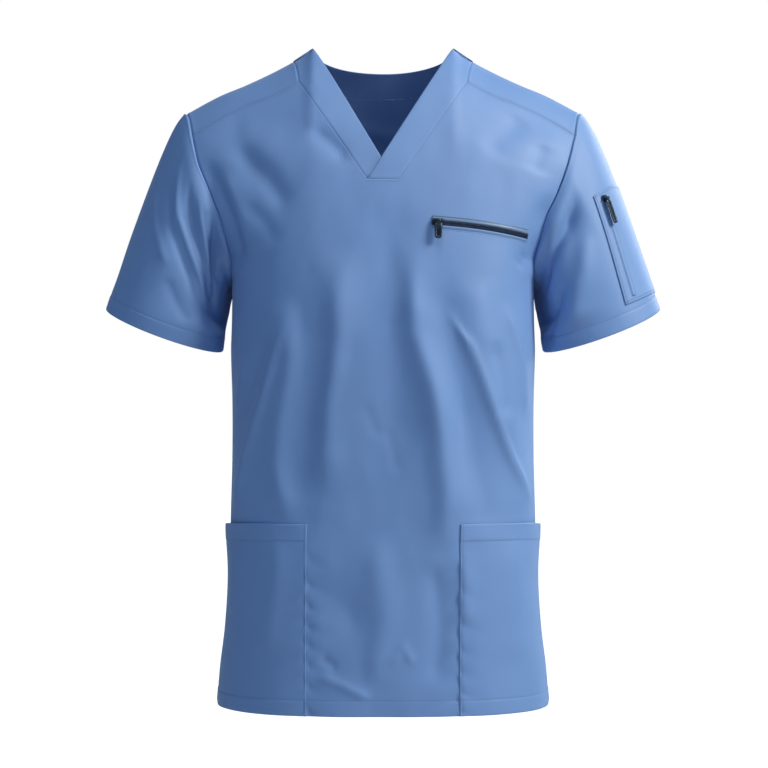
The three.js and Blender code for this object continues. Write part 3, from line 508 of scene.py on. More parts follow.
def band_stations(mirror):
    """Outer seam points and neck edge points of a front neck band, from the V up to the shoulder."""
    picked = np.arange(CORNER_INDEX, NECK_INDEX + 1)
    share = (INNER_COLUMNS[picked] - 1) / (NECK_COLUMN - 1)
    outer = front_grid[0][column_index(mirror, picked)]
    inner_x = mix(V_POINT[0], mirror * BAND_AT_YOKE[0], share)
    inner_z = mix(V_POINT[1], BAND_AT_YOKE[1], share)
    yoke = yokes[mirror][-2::-1, 0]
    r = yoke[:, 1] / front_grid[0][column_index(mirror, NECK_INDEX), 1]
    z = mix(NECK_EDGE_Z, BAND_AT_YOKE[1], r * r)
    along = (z - BAND_AT_YOKE[1]) / (NECK_EDGE_Z - BAND_AT_YOKE[1])
    x = mirror * mix(BAND_AT_YOKE[0], NECK_EDGE_X, along)
    outer = np.concatenate([outer, yoke])
    inner_x, inner_z = np.concatenate([inner_x, x]), np.concatenate([inner_z, z])
    return outer, inner_x, inner_z


def band_grid(side, outer, inner_x, inner_z):
    """A neck band between its seam points and its neck edge, following the body's surface."""
    wide = np.hypot(outer[:, 0] - inner_x, outer[:, 2] - inner_z)
    k = shares_across(wide, np.linspace(0.2, 0.8, 6)[1:-1])
    points = body_point(side, mix(outer[:, 0], inner_x, k), mix(outer[:, 2], inner_z, k))
    flaw = outer - body_point(side, outer[:, 0], outer[:, 2])
    return points + flaw * (1 - k)[..., None]


def front_band(mirror):
    outer, inner_x, inner_z = band_stations(mirror)
    if mirror > 0:
        # The left band runs on across the V's level bottom, on top of the right band's end
        crossing = np.arange(-CORNER_INDEX, CORNER_INDEX)
        share = mix(0.06, 1, (signed_columns(crossing) + 1) / 2)
        start = front_grid[0][column_index(1, crossing)]
        outer = np.concatenate([start, outer])
        inner_x = np.concatenate([mix(start[0, 0], V_POINT[0], share), inner_x])
        inner_z = np.concatenate([mix(start[0, 2], V_POINT[1], share), inner_z])
    return band_grid("front", outer, inner_x, inner_z)


def back_band():
    across = np.arange(-NECK_INDEX, NECK_INDEX + 1)
    turn = signed_columns(across) / NECK_COLUMN * math.pi / 2
    x, z = NECK_EDGE_X * np.sin(turn), mix(BACK_NECK_Z, NECK_EDGE_Z, 1 - np.cos(turn))
    return band_grid("back", back_grid[0][column_index(1, across)], x, z)


# Sleeves
SLEEVE_CENTRE = ((CUFF_OUTER[0] + CUFF_INNER[0]) / 2, (CUFF_OUTER[1] + CUFF_INNER[1]) / 2)


def armhole_loop(mirror):
    """Armhole points round the sleeve with their shares: 0 on top, 1 underarm, negative behind."""
    side = column_index(mirror, SIDE_INDEX)
    front = np.concatenate([yokes[mirror][:, -1], front_grid[1:UNDERARM_ROW + 1, side]])
    back = back_grid[UNDERARM_ROW:0:-1, side]

    def shares(points):
        lengths = run_along(points)
        return lengths / lengths[-1]
    front_shares = shares(front)
    back_shares = shares(np.concatenate([back, front[:1]]))[:-1] - 1
    return np.concatenate([front, back[1:]]), np.concatenate([front_shares, back_shares[1:]])


loops = {1: armhole_loop(1), -1: armhole_loop(-1)}


def cuff_point(mirror, share):
    angle = np.asarray(share) * math.pi
    across, up = (CUFF_OUTER[0] - CUFF_INNER[0]) / 2, (CUFF_OUTER[1] - CUFF_INNER[1]) / 2
    forward = CUFF_HALF_DEPTH * np.sin(angle)
    return np.stack([
        mirror * (SLEEVE_CENTRE[0] + across * np.cos(angle)),
        -forward * math.cos(CUFF_LEAN),
        SLEEVE_CENTRE[1] + up * np.cos(angle) - forward * math.sin(CUFF_LEAN),
    ], -1)


# Sleeve folds: out, half-width in shares, then places: share round (front positive), share along
CREASES_BEHIND = [
    (-4.2, 0.06, (-0.45, 0.05), (-0.66, 0.40), (-0.72, 0.75)),
    (3.6, 0.06, (-0.55, 0.05), (-0.78, 0.45)),
]
SLEEVE_CREASES = {
    1: [
        (-11.0, 0.075, (0.24, 0.14), (0.44, 0.21), (0.56, 0.23), (0.69, 0.27), (0.86, 0.38)),
        (7.0, 0.10, (0.34, 0.30), (0.46, 0.44), (0.58, 0.62), (0.66, 0.85)),
        (-5.5, 0.06, (0.60, 0.50), (0.76, 0.66), (0.91, 0.95)),
        (-12.0, 0.2, (0.76, 0.0), (0.82, 0.3), (0.88, 0.8)),
        *CREASES_BEHIND,
    ],
    -1: [
        (-2.6, 0.028, (0.20, 0.18), (0.31, 0.35), (0.42, 0.44), (0.55, 0.55), (0.68, 0.72)),
        (3.4, 0.024, (0.24, 0.10), (0.36, 0.29), (0.49, 0.39), (0.62, 0.49), (0.76, 0.66)),
        (-3.2, 0.026, (0.34, 0.06), (0.42, 0.22), (0.55, 0.33), (0.70, 0.48), (0.80, 0.62)),
        (3.0, 0.022, (0.42, 0.06), (0.50, 0.18), (0.60, 0.28), (0.72, 0.41), (0.82, 0.55)),
        (-7.0, 0.06, (0.47, 0.01), (0.56, 0.04), (0.64, 0.16), (0.78, 0.35)),
        (-6.0, 0.05, (0.56, 0.16), (0.66, 0.26), (0.74, 0.40), (0.84, 0.62)),
        (2.2, 0.035, (0.14, 0.32), (0.21, 0.43), (0.34, 0.52), (0.43, 0.59)),
        (-2.2, 0.05, (0.42, 0.63), (0.51, 0.73), (0.63, 0.83)),
        (-15.0, 0.2, (0.64, 0.0), (0.74, 0.3), (0.86, 0.8)),
        *CREASES_BEHIND,
    ],
}
sleeve_ripple = waves(31, 8, 0.55, 0.7)
fine_sleeve_ripple = waves(32, 9, 0.16, 0.3)


def sleeve_point(mirror, start, share, along, detail=1.0):
    """A point of the sleeve between an armhole point and the cuff."""
    rim = cuff_point(mirror, share)
    outwards = unit(rim - np.array([mirror * SLEEVE_CENTRE[0], 0, SLEEVE_CENTRE[1]]))
    around = np.abs(share)
    top = np.clip(1 - around * 2, 0, 1)
    bulge = mix(SIDE_BULGE, CAP_BULGE, top) * rise(1, 0.72, around) * np.sin(math.pi * np.sqrt(along))
    fold = 0
    for share1, along1, share2, along2, high, wide in SLEEVE_FOLDS:
        t, away = nearest_on(around, along, share1, along1, share2, along2)
        fold = fold + high * bell(away, wide) * (1 - 0.6 * np.abs(2 * t - 1))
    lap = np.sin(math.pi * share)
    fine = crease_out(SLEEVE_CREASES[mirror], share * np.ones_like(along), along)
    fine = fine + 0.9 * sleeve_ripple(lap + 0.4 * mirror, along)
    fine = fine + 0.25 * fine_sleeve_ripple(lap, along + 0.3 * mirror)
    if mirror > 0:
        # Smooth under the sleeve pocket
        fine = fine * (1 - rise(0.5, 0.36, share) * rise(-0.2, -0.1, share))
    fold = (fold + detail * fine) * rise(0, 0.12, along) * rise(1, 0.9, along)
    return mix(start, rim, along[..., None]) + outwards * (bulge + fold)[..., None]


def sleeve_grid(mirror):
    points, shares = loops[mirror]
    long = np.linalg.norm(cuff_point(mirror, shares) - points, axis=-1)
    start = BESIDE[:, None] * np.ones_like(long)
    end = long[None] - HEM_LINES[::-1, None]
    inner = mix(start[-1][None], end[0][None], np.linspace(0, 1, 46)[1:-1, None])
    along = np.concatenate([start, inner, end]) / long[None]
    shares = np.repeat(shares[None], len(along), 0)
    return sleeve_point(mirror, points[None], shares, along)


def on_sleeve(mirror, share, along, detail=1.0):
    """A point of the sleeve for any share round and along."""
    points, shares = loops[mirror]
    order = np.argsort(shares)
    start = np.stack([np.interp(share, shares[order], points[order, i]) for i in range(3)], -1)
    return sleeve_point(mirror, start, np.asarray(share, float), np.asarray(along, float), detail)


# Cloth walls
def normals_of(grid, turn, closed):
    """Outward normals of a grid of points."""
    if closed:
        across = np.roll(grid, -1, 1) - np.roll(grid, 1, 1)
    else:
        across = np.gradient(grid, axis=1)
    return unit(np.cross(np.gradient(grid, axis=0), across)) * turn


def from_edge(values, edge):
    """A view of a grid's values whose first row lies at the named border."""
    if edge in ("first", "last"):
        values = values.swapaxes(0, 1)
    return values[::-1] if edge in ("low", "last") else values


def edge_distance(grid, edge):
    """Distance of every grid point from one of its borders, along the grid's own lines."""
    steps = np.linalg.norm(np.diff(from_edge(grid, edge), axis=0), axis=-1)
    away = np.zeros(grid.shape[:2])
    from_edge(away, edge)[1:] = np.cumsum(steps, 0)
    return away


# Relief along the borders: each function gives height and painted shade from the distance to the border
def plain_seam(d):
    return -0.55 * bell(d, 1.0) + 0.25 * bell(d - 2.8, 1.6), 0.5 * bell(d, 1.0)


def stitched_seam(d):
    height, shade = plain_seam(d)
    row = bell(d - TOPSTITCH, 0.8)
    return height - 0.35 * row, shade + 0.3 * row


def faint_seam(d):
    height, shade = plain_seam(d)
    return 0.4 * height, 0.3 * shade


def cap_seam(d):
    return 0.9 * bell(d - 2.2, 1.7) - 0.45 * bell(d, 0.9), 0.35 * bell(d, 0.8)


def free_edge(d):
    return -0.4 * bell(d, 0.7), 0.25 * bell(d, 0.8)


def hem_edge(d):
    height, shade = free_edge(d)
    doubled = 0.4 * rise(HEM_STITCH + 1.4, HEM_STITCH - 0.8, d)
    return height + doubled - 0.45 * bell(d - HEM_STITCH, 1.0), shade + 0.35 * bell(d - HEM_STITCH, 0.9)


def patch_edge(d):
    height, shade = free_edge(d)
    row = bell(d - PATCH_STITCH, 0.8)
    return height - 0.3 * row, shade + 0.4 * row


def back_band_edge(d):
    return free_edge(d)


def mouth_edge(d):
    doubled = 0.35 * rise(MOUTH_STITCH + 1.4, MOUTH_STITCH - 0.8, d)
    row = bell(d - MOUTH_STITCH, 1.0)
    return doubled - 0.3 * bell(d, 0.7) - 0.35 * row, 0.3 * row


# Seam allowance: how far the inner side of a sewn border reaches under the next piece
SEAM_LAP = 1.3
SEWN = (plain_seam, stitched_seam, faint_seam, cap_seam)

# Borders with a row of stitches, by its distance from the border
STITCHED = {
    stitched_seam: TOPSTITCH, hem_edge: HEM_STITCH, mouth_edge: MOUTH_STITCH, patch_edge: PATCH_STITCH,
    back_band_edge: BACK_BAND_STITCH,
}


def add_object(name, data):
    made = bpy.data.objects.new(name, data)
    bpy.context.scene.collection.objects.link(made)
    return made


def add_mesh(name, points, faces, material, shades, uvs=None):
    """A smooth mesh from points in millimetres, with a value for each point: painted shade on cloth and tape,
    wear on metal.
    """
    mesh = bpy.data.meshes.new(name)
    mesh.from_pydata((np.asarray(points) * MM).tolist(), [], [tuple(map(int, face)) for face in faces])
    layer = mesh.attributes.new("painted_shade_and_wear", "FLOAT", "POINT")
    layer.data.foreach_set("value", np.asarray(shades, np.float32))
    corners = np.zeros(len(mesh.loops), np.int32)
    mesh.loops.foreach_get("vertex_index", corners)
    uvs = np.zeros((len(points), 2)) if uvs is None else uvs
    layer = mesh.uv_layers.new(name="cloth")
    layer.data.foreach_set("uv", np.asarray(uvs, np.float32)[corners].ravel() * MM)
    mesh.polygons.foreach_set("use_smooth", [True] * len(mesh.polygons))
    mesh.materials.append(material)
    mesh.validate()
    return add_object(name, mesh)


def attach(piece, slot, *nodes, body="garment"):
    """Put a piece on its body, in place of the solids that it stands for. Its slot is not used."""
    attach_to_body(piece, body)
    if nodes:
        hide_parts(*nodes)
    return piece


def quads(at, turn):
    """Faces between neighbouring rows and columns of a table of point numbers."""
    a, b, c, d = at[:-1, :-1], at[1:, :-1], at[1:, 1:], at[:-1, 1:]
    faces = np.stack([a, b, c, d], -1).reshape(-1, 4)
    return faces if turn > 0 else faces[:, ::-1]


def wall_faces(rows, columns, turn, closed=False):
    """Faces of a closed thin wall: its outer points come first, then as many inner ones."""
    at = np.arange(rows * columns).reshape(rows, columns)
    if closed:
        at = np.concatenate([at, at[:, :1]], 1)
    under = at + rows * columns
    rims = [np.stack([under[0], at[0]]), np.stack([at[-1], under[-1]])]
    if not closed:
        rims += [np.stack([under[:, 0], at[:, 0]], 1), np.stack([at[:, -1], under[:, -1]], 1)]
    return np.concatenate([quads(at, turn), quads(under, -turn)] + [quads(rim, turn) for rim in rims])


def lap_under(inner, grid, edge):
    rows = from_edge(grid, edge)
    from_edge(inner, edge)[0] += SEAM_LAP * unit(rows[0] - rows[1])


# Every cloth piece with what its stitches need
walls = {}


def cloth_wall(name, grid, turn, borders, *nodes, closed=False, lift=0.0, thick=CLOTH, strength=1.0):
    """A closed cloth wall from its outer points, with relief along its borders."""
    normals = normals_of(grid, turn, closed)
    lift = lift * np.ones(grid.shape[:2])
    height, shade = lift, 0 * lift
    inner = grid + normals * (lift - thick)[..., None]
    for edge, relief in borders.items():
        more, dark = relief(edge_distance(grid, edge))
        height = height + strength * more
        shade = np.maximum(shade, strength * dark)
        if relief in SEWN:
            lap_under(inner, grid, edge)
    outer = grid + normals * height[..., None]
    uv = np.stack([edge_distance(grid, "first"), -edge_distance(grid, "top")], -1).reshape(-1, 2)
    points = np.concatenate([outer.reshape(-1, 3), inner.reshape(-1, 3)])
    shades = np.concatenate([shade.ravel(), np.zeros(shade.size)])
    faces = wall_faces(*grid.shape[:2], turn, closed)
    piece = add_mesh(f"{name}_cloth", points, faces, cloth, shades, np.concatenate([uv, uv]))
    attach(piece, "scrub_cloth", name, *nodes)
    walls[name] = (piece, grid, turn, borders, closed, lift)


# Materials
def feed(tree, target, inputs):
    """Link or set the named inputs of a node."""
    for socket, value in inputs.items():
        if isinstance(value, bpy.types.NodeSocket):
            tree.links.new(value, target.inputs[socket])
        else:
            target.inputs[socket].default_value = value


def new_material(name, base, roughness, metallic=0.0):
    material = bpy.data.materials.new(name)
    material.use_nodes = True
    tree = material.node_tree
    shader = tree.nodes["Principled BSDF"]
    feed(tree, shader, {"Base Color": (*base, 1), "Roughness": roughness, "Metallic": metallic})
    return material, tree, shader


def node(tree, kind, inputs=(), **settings):
    made = tree.nodes.new(kind)
    for key, value in settings.items():
        setattr(made, key, value)
    feed(tree, made, dict(inputs))
    return made


def noise(tree, place, scale, detail):
    inputs = {"Vector": place, "Scale": scale, "Detail": detail}
    return node(tree, "ShaderNodeTexNoise", inputs).outputs["Fac"]


def point_shade_and_wear(tree):
    """Each point's value as add_mesh sets it: painted shade on cloth and tape, wear on metal."""
    return node(tree, "ShaderNodeAttribute", attribute_name="painted_shade_and_wear").outputs["Fac"]


def object_place(tree):
    return node(tree, "ShaderNodeTexCoord").outputs["Object"]


def to_camera(tree):
    """1 where the camera looks straight at the surface or the world, else 0."""
    return node(tree, "ShaderNodeLightPath").outputs["Is Camera Ray"]


def maths(tree, operation, a, b=0.0):
    return node(tree, "ShaderNodeMath", {0: a, 1: b}, operation=operation).outputs[0]


CLOTH_BLUE = (0.128, 0.264, 0.588)


def twill_cloth(name):
    """Smooth poly-cotton twill: fine diagonal ribs, a soft sheen, and painted shade along seams, free edges
    and stitch rows.
    """
    material, tree, shader = new_material(name, CLOTH_BLUE, 0.58)
    uv = node(tree, "ShaderNodeUVMap", uv_map="cloth").outputs[0]
    # Colour: broad and fine variation, then painted shade along seams, free edges and stitch rows
    broad, fine = noise(tree, object_place(tree), 6.0, 3.0), noise(tree, uv, 900.0, 2.0)
    light = maths(tree, "ADD", maths(tree, "MULTIPLY", broad, 0.16), maths(tree, "MULTIPLY", fine, 0.10))
    dark = maths(tree, "MULTIPLY", point_shade_and_wear(tree), -0.42)
    value = maths(tree, "ADD", maths(tree, "ADD", light, 0.87), dark)
    colour = node(tree, "ShaderNodeHueSaturation", {"Value": value, "Color": (*CLOTH_BLUE, 1)})
    # Bump: twill ribs across the threads
    turned = node(tree, "ShaderNodeMapping", {"Vector": uv, "Rotation": (0, 0, math.radians(58))})
    ribs = node(tree, "ShaderNodeTexWave", {
        "Vector": turned.outputs[0], "Scale": 420.0, "Distortion": 0.6, "Detail": 1.0, "Detail Scale": 2.0,
    }).outputs["Fac"]
    height = maths(tree, "ADD", ribs, maths(tree, "MULTIPLY", fine, 0.8))
    bump = node(tree, "ShaderNodeBump", {"Height": height, "Strength": 0.25, "Distance": 0.00018})
    feed(tree, shader, {
        "Sheen Weight": 0.2, "Sheen Roughness": 0.4, "Sheen Tint": (0.6, 0.78, 1.0, 1),
        "Specular IOR Level": 0.6, "Base Color": colour.outputs[0], "Normal": bump.outputs[0],
    })
    return material


def fine_material(name, base, roughness, metallic, wear_and_shade, wear_and_shade_strength, scale, sheen=0.0):
    """Tape, thread, nylon or metal: fine grain, and a second colour where the point attribute says: painted
    shade on the zip band, wear on metal.
    """
    material, tree, shader = new_material(name, base, roughness, metallic)
    grain = noise(tree, object_place(tree), scale, 4.0)
    uneven = maths(tree, "ADD", maths(tree, "MULTIPLY", grain, wear_and_shade_strength), 0.1)
    amount = maths(tree, "MULTIPLY", point_shade_and_wear(tree), uneven)
    colours = node(tree, "ShaderNodeMix", {0: amount, 6: (*base, 1), 7: (*wear_and_shade, 1)}, data_type="RGBA")
    rough = maths(tree, "ADD", maths(tree, "MULTIPLY", grain, 0.25), roughness - 0.12)
    bump = node(tree, "ShaderNodeBump", {"Height": grain, "Strength": 0.2, "Distance": 0.0001})
    feed(tree, shader, {
        "Sheen Weight": sheen, "Specular Tint": (0.55, 0.75, 1.0, 1), "Base Color": colours.outputs[2],
        "Roughness": rough, "Normal": bump.outputs[0],
    })
    return material


cloth = twill_cloth("scrub_twill")
thread = fine_material("thread", (0.15, 0.27, 0.56), 0.5, 0, (0.1, 0.2, 0.45), 0.5, 2500, sheen=0.2)
# The zip band's darker second colour is painted shade, shown in the grooves along its edges
band_cloth = fine_material("zip_band", (0.13, 0.22, 0.40), 0.34, 0, (0.02, 0.04, 0.1), 1.6, 2500, sheen=0.2)
dark_tape = fine_material("zip_tape_weave", (0.012, 0.02, 0.045), 0.7, 0, (0.03, 0.05, 0.1), 0.6, 3000)
coil_nylon = fine_material("zip_coil", (0.014, 0.026, 0.065), 0.35, 0, (0.06, 0.1, 0.18), 0.5, 2500)
metal = fine_material("gunmetal", (0.014, 0.019, 0.03), 0.34, 0.6, (0.055, 0.08, 0.13), 0.8, 1800)

# The sewn shell: outer points, which way they turn, and the relief of each border
SEAMS = dict(first=plain_seam, last=plain_seam)
YOKE_BORDERS = dict(top=plain_seam, low=stitched_seam, **SEAMS)
SLEEVE_BORDERS = dict(top=cap_seam, low=hem_edge)
FRONT_BAND_BORDERS = dict(top=faint_seam, low=free_edge, **SEAMS)
SHELL = {
    "front_panel": (front_grid, 1, dict(top=stitched_seam, low=hem_edge, **SEAMS)),
    "back_panel": (back_grid, -1, dict(top=plain_seam, low=hem_edge, **SEAMS)),
    "yoke_left": (yokes[1], 1, YOKE_BORDERS),
    "yoke_right": (yokes[-1], -1, YOKE_BORDERS),
    "sleeve_left": (sleeve_grid(1), -1, SLEEVE_BORDERS),
    "sleeve_right": (sleeve_grid(-1), 1, SLEEVE_BORDERS),
    "neck_band_left": (front_band(1), -1, FRONT_BAND_BORDERS),
    "neck_band_right": (front_band(-1), 1, FRONT_BAND_BORDERS),
    "neck_band_back": (back_band(), 1, dict(top=plain_seam, low=back_band_edge, **SEAMS)),
}


def front_strength(grid):
    """The front panel's seams show less along the neck, least on the wearer's left."""
    x, z = grid[..., 0], grid[..., 2]
    high = rise(UNDERARM_Z + 2, -230, z)
    left_neck, right_neck = (
        rise(19, 26, mirror * x) * rise(95, 88, mirror * x) * high for _, mirror in SIDES
    )
    return 0.85 - 0.65 * left_neck - 0.25 * right_neck


for name, (grid, turn, borders) in SHELL.items():
    if name.startswith("sleeve"):
        cloth_wall(name, grid, turn, borders, f"{name}_under", closed=True)
    else:
        strength = front_strength(grid) if name == "front_panel" else 1.0
        cloth_wall(name, grid, turn, borders, strength=strength)


# Lower patch pockets: they lie on the front panel and gape at the outer end of the mouth
LYING_GAP, POCKET_GAPE, GAPE_LENGTH, MOUTH_DROOP = 0.3, 5, 45, 6
BESIDE_STITCH = np.array([-2.2, -1.2, -0.6, 0, 0.6, 1.2, 2.2])
MILLIMETRES_PER_COLUMN = 11


def lower_pocket(name, mirror):
    mouth = POCKET_MOUTH_Z - MOUTH_STITCH - BESIDE_STITCH
    low = HEM_Z + HEM_LINES[::-1]
    z = np.concatenate([
        POCKET_MOUTH_Z - BESIDE, spread(POCKET_MOUTH_Z - BESIDE[-1], mouth[0] + 3, FINE_STEP),
        mouth, spread(mouth[-1], low[0] + 4, FINE_STEP), low,
    ])
    beside = LAST_COLUMN - BESIDE[::-1] / MILLIMETRES_PER_COLUMN
    columns, z = np.meshgrid(np.concatenate([INNER_COLUMNS[NECK_INDEX:], beside]), z)
    across = (columns - NECK_COLUMN) / (LAST_COLUMN - NECK_COLUMN)
    gape = across ** 3 * bell(POCKET_MOUTH_Z - z, GAPE_LENGTH)
    grid = lower_points("front", columns, mirror, z - MOUTH_DROOP * gape)
    lift = CLOTH + LYING_GAP + POCKET_GAPE * gape
    side, patch = ("last", "first") if mirror > 0 else ("first", "last")
    if mirror < 0:
        grid, lift = grid[:, ::-1], lift[:, ::-1]
    borders = {"top": mouth_edge, "low": hem_edge, side: free_edge, patch: patch_edge}
    cloth_wall(name, grid, 1, borders, lift=lift)


# The sleeve patch pocket: shares round the sleeve and along it, at the front and the back edge
PATCH_FRONT = dict(top=0.3, low=0.35, top_along=0.255, low_along=0.87)
PATCH_BACK = dict(top=-0.08, low=-0.06, top_along=0.44, low_along=0.93)
PATCH_WALL, PATCH_GAP = 1.0, 0.6
PATCH_WIDE, PATCH_HIGH = 88, 122
SLEEVE_ZIP = dict(across=0.16, top=0.03, low=0.95)


def on_patch(across, down, detail=1.0):
    def at(line):
        return mix(mix(PATCH_FRONT[f"top{line}"], PATCH_FRONT[f"low{line}"], down),
                   mix(PATCH_BACK[f"top{line}"], PATCH_BACK[f"low{line}"], down), across)
    return on_sleeve(1, at(""), at("_along"), detail)


def patch_lines(long, count):
    """Shares over the patch, closer together beside both borders."""
    inner = np.linspace(BESIDE[-1], long - BESIDE[-1], count)[1:-1]
    return np.concatenate([BESIDE, inner, long - BESIDE[::-1]]) / long


for word, mirror in SIDES:
    lower_pocket(f"pocket_{word}", mirror)
patch_grid = on_patch(*np.meshgrid(patch_lines(PATCH_WIDE, 28), patch_lines(PATCH_HIGH, 38)))
patch_borders = dict.fromkeys(("top", "low", "first", "last"), patch_edge)
cloth_wall("sleeve_pocket", patch_grid, 1, patch_borders, lift=PATCH_WALL + PATCH_GAP, thick=PATCH_WALL)


# Zips
def surface_frame(at, along_next, up_next):
    """Along, up and out of a surface at each of a row of places."""
    along = unit(along_next - at)
    out = unit(np.cross(along, up_next - at))
    return at, along, np.cross(out, along), out


PROBE, STRIP_SEAT = 0.02, 0.15


def chest_zip_frame(t, detail=1.0):
    def place(share, lift):
        z = mix(CHEST_ZIP["z1"], CHEST_ZIP["z2"], share) + CHEST_ZIP["arch"] * 4 * share * (1 - share)
        return body_point("front", mix(CHEST_ZIP["x1"], CHEST_ZIP["x2"], share), z + lift, detail)
    return surface_frame(place(t, 0), place(t + PROBE, 0), place(t, CHEST_ZIP["high"] / 2))


def sleeve_zip_frame(t, detail=1.0):
    def place(share, shift):
        down = mix(SLEEVE_ZIP["top"], SLEEVE_ZIP["low"], share)
        return on_patch(SLEEVE_ZIP["across"] - shift, down, detail)
    at = place(t, 0)
    up = unit(at - place(t + PROBE, 0))
    out = unit(np.cross(place(t, -PROBE) - at, up))
    return at, np.cross(up, out), up, out


def strip(name, places, profile, material):
    """A closed strip along a row of places: its profile tells offset across, height and painted shade."""
    points, across, out = (values[:, None] for values in places)
    offsets, heights, shades = (np.array(column) for column in zip(*profile[::-1]))
    top = points + across * offsets[None, :, None] + out * heights[None, :, None]
    under = points + across * offsets[None, :, None] + out * STRIP_SEAT
    along = run_along(points[:, 0])
    count, wide = len(points), len(offsets)
    uv = np.stack([np.repeat(along, wide), np.tile(offsets, count)], -1)
    shade = np.concatenate([np.tile(shades, count), np.zeros(count * wide)])
    outline = np.concatenate([top.reshape(-1, 3), under.reshape(-1, 3)])
    return add_mesh(name, outline, wall_faces(count, wide, 1), material, shade, np.concatenate([uv, uv]))


def capsules(name, centres, along, out, long, radius, material, flat=0.7):
    """Many small rounded threads or coil turns: each lies along its own direction."""
    rings = [(-0.5, 0.35), (-0.32, 0.9), (0.32, 0.9), (0.5, 0.35)]
    sides = 6
    angle = (np.arange(sides) / sides * 2 * math.pi)[None, :, None]
    ring = unit(np.cross(along, out))[:, None] * np.cos(angle) + flat * out[:, None] * np.sin(angle)
    points = np.stack([
        centres[:, None] + along[:, None] * long * place + ring * radius * share for place, share in rings
    ], 1)
    corners = len(rings) * sides
    at = np.arange(corners).reshape(len(rings), sides)
    one = quads(np.concatenate([at, at[:, :1]], 1), 1).tolist()
    one += [at[0].tolist(), at[-1, ::-1].tolist()]
    faces = [[corner + i * corners for corner in face] for i in range(len(centres)) for face in one]
    return add_mesh(name, points.reshape(-1, 3), faces, material, np.zeros(len(centres) * corners))


STITCH_PITCH, STITCH_LONG, STITCH_RADIUS, STITCH_SUNK, STITCH_PROBE = 3.2, 2.3, 0.34, 0.12, 0.4


def stitch_row(points, normals):
    """Centres and directions of stitches along a line on the cloth."""
    at = run_along(points)
    count = max(1, int(at[-1] / STITCH_PITCH))
    where = (np.arange(count) + 0.5) * at[-1] / count

    def along_line(values, place):
        return np.stack([np.interp(place, at, values[:, i]) for i in range(3)], -1)
    ahead = along_line(points, np.minimum(where + STITCH_PROBE, at[-1]))
    behind = along_line(points, np.maximum(where - STITCH_PROBE, 0))
    return along_line(points, where), unit(ahead - behind), unit(along_line(normals, where))


def offset_line(grid, turn, edge, distance, lift, closed):
    """The line on a cloth at a set distance from one border, with the ways out of the cloth."""
    away = from_edge(edge_distance(grid, edge), edge)

    def read(values):
        values = from_edge(values, edge)
        return np.array([
            [np.interp(distance, away[:, column], values[:, column, i]) for i in range(values.shape[2])]
            for column in range(away.shape[1])
        ])
    ways = unit(read(normals_of(grid, turn, closed)))
    line = read(grid) + ways * read(lift[..., None])
    if closed:
        line, ways = np.concatenate([line, line[:1]]), np.concatenate([ways, ways[:1]])
    return line, ways


def plate_outline(wide, high, radius, steps=4, taper=0.0):
    """A rounded rectangle, counter-clockwise; its lower half can taper."""
    points = []
    for sign_x, sign_y, start in [(1, 1, 0), (-1, 1, 90), (-1, -1, 180), (1, -1, 270)]:
        for i in range(steps + 1):
            turn = math.radians(start + 90 * i / steps)
            x = sign_x * (wide / 2 - radius) + radius * math.cos(turn)
            y = sign_y * (high / 2 - radius) + radius * math.sin(turn)
            points.append((x * (1 - taper * max(0, -y) / high), y))
    return np.array(points)


def ring_faces(first, second, count):
    """Quads between two rings of points that begin at the given numbers."""
    return [(first + i, first + (i + 1) % count, second + (i + 1) % count, second + i) for i in range(count)]


def loft(layers):
    """A solid from outlines of equal count at rising heights; points, faces and wear."""
    count = len(layers[0][0])
    points = [(x, y, z) for outline, z, _ in layers for x, y in outline]
    faces = [face for i in range(len(layers) - 1) for face in ring_faces(i * count, (i + 1) * count, count)]
    faces.append(tuple(range(count))[::-1])
    faces.append(tuple(range(len(points) - count, len(points))))
    return points, faces, [wear_and_shade for _, _, wear_and_shade in layers for _ in range(count)]


def bevelled_plate(outline, low, high, edge=0.3, recess=None):
    """A plate with bevelled edges, and a sunk inner field where recess tells its outline and depth."""
    layers = [(shrunk(outline, edge), low, 0.3), (outline, low + edge, 0.6), (outline, high - edge, 0.8)]
    layers.append((shrunk(outline, edge), high, 1.0))
    if recess:
        inner, deep = recess
        layers += [(inner, high, 0.7), (shrunk(inner, 0.3), high - deep, 0.0)]
    return loft(layers)


def shrunk(outline, by):
    centre = outline.mean(0)
    half = np.abs(outline - centre).max(0)
    return centre + (outline - centre) * (1 - by / half)


def tube_along_x(radius, long, bore=0.0, sides=20, edge=0.25):
    """A round bar along x, or a ring where it has a bore."""
    half = long / 2
    profile = [(-half, radius - edge), (-half + edge, radius), (half - edge, radius), (half, radius - edge)]
    profile = profile + [(half, bore), (-half, bore)] if bore else [(-half, 0.01)] + profile + [(half, 0.01)]
    turns = [2 * math.pi * i / sides for i in range(sides)]
    points = [(x, reach * math.cos(turn), reach * math.sin(turn)) for x, reach in profile for turn in turns]
    faces = []
    for ring in range(len(profile) if bore else len(profile) - 1):
        faces += ring_faces(ring * sides, (ring + 1) % len(profile) * sides, sides)
    return points, faces, [0.6 if bore else 0.2] * len(points)


def moved(part, x=0.0, y=0.0, z=0.0):
    points, faces, wear = part
    return [(a + x, b + y, c + z) for a, b, c in points], faces, wear


def joined(parts):
    points, faces, wear = [], [], []
    for more, some, wear_and_shade in parts:
        faces += [tuple(corner + len(points) for corner in face) for face in some]
        points += more
        wear += wear_and_shade
    return np.array(points), faces, np.array(wear)


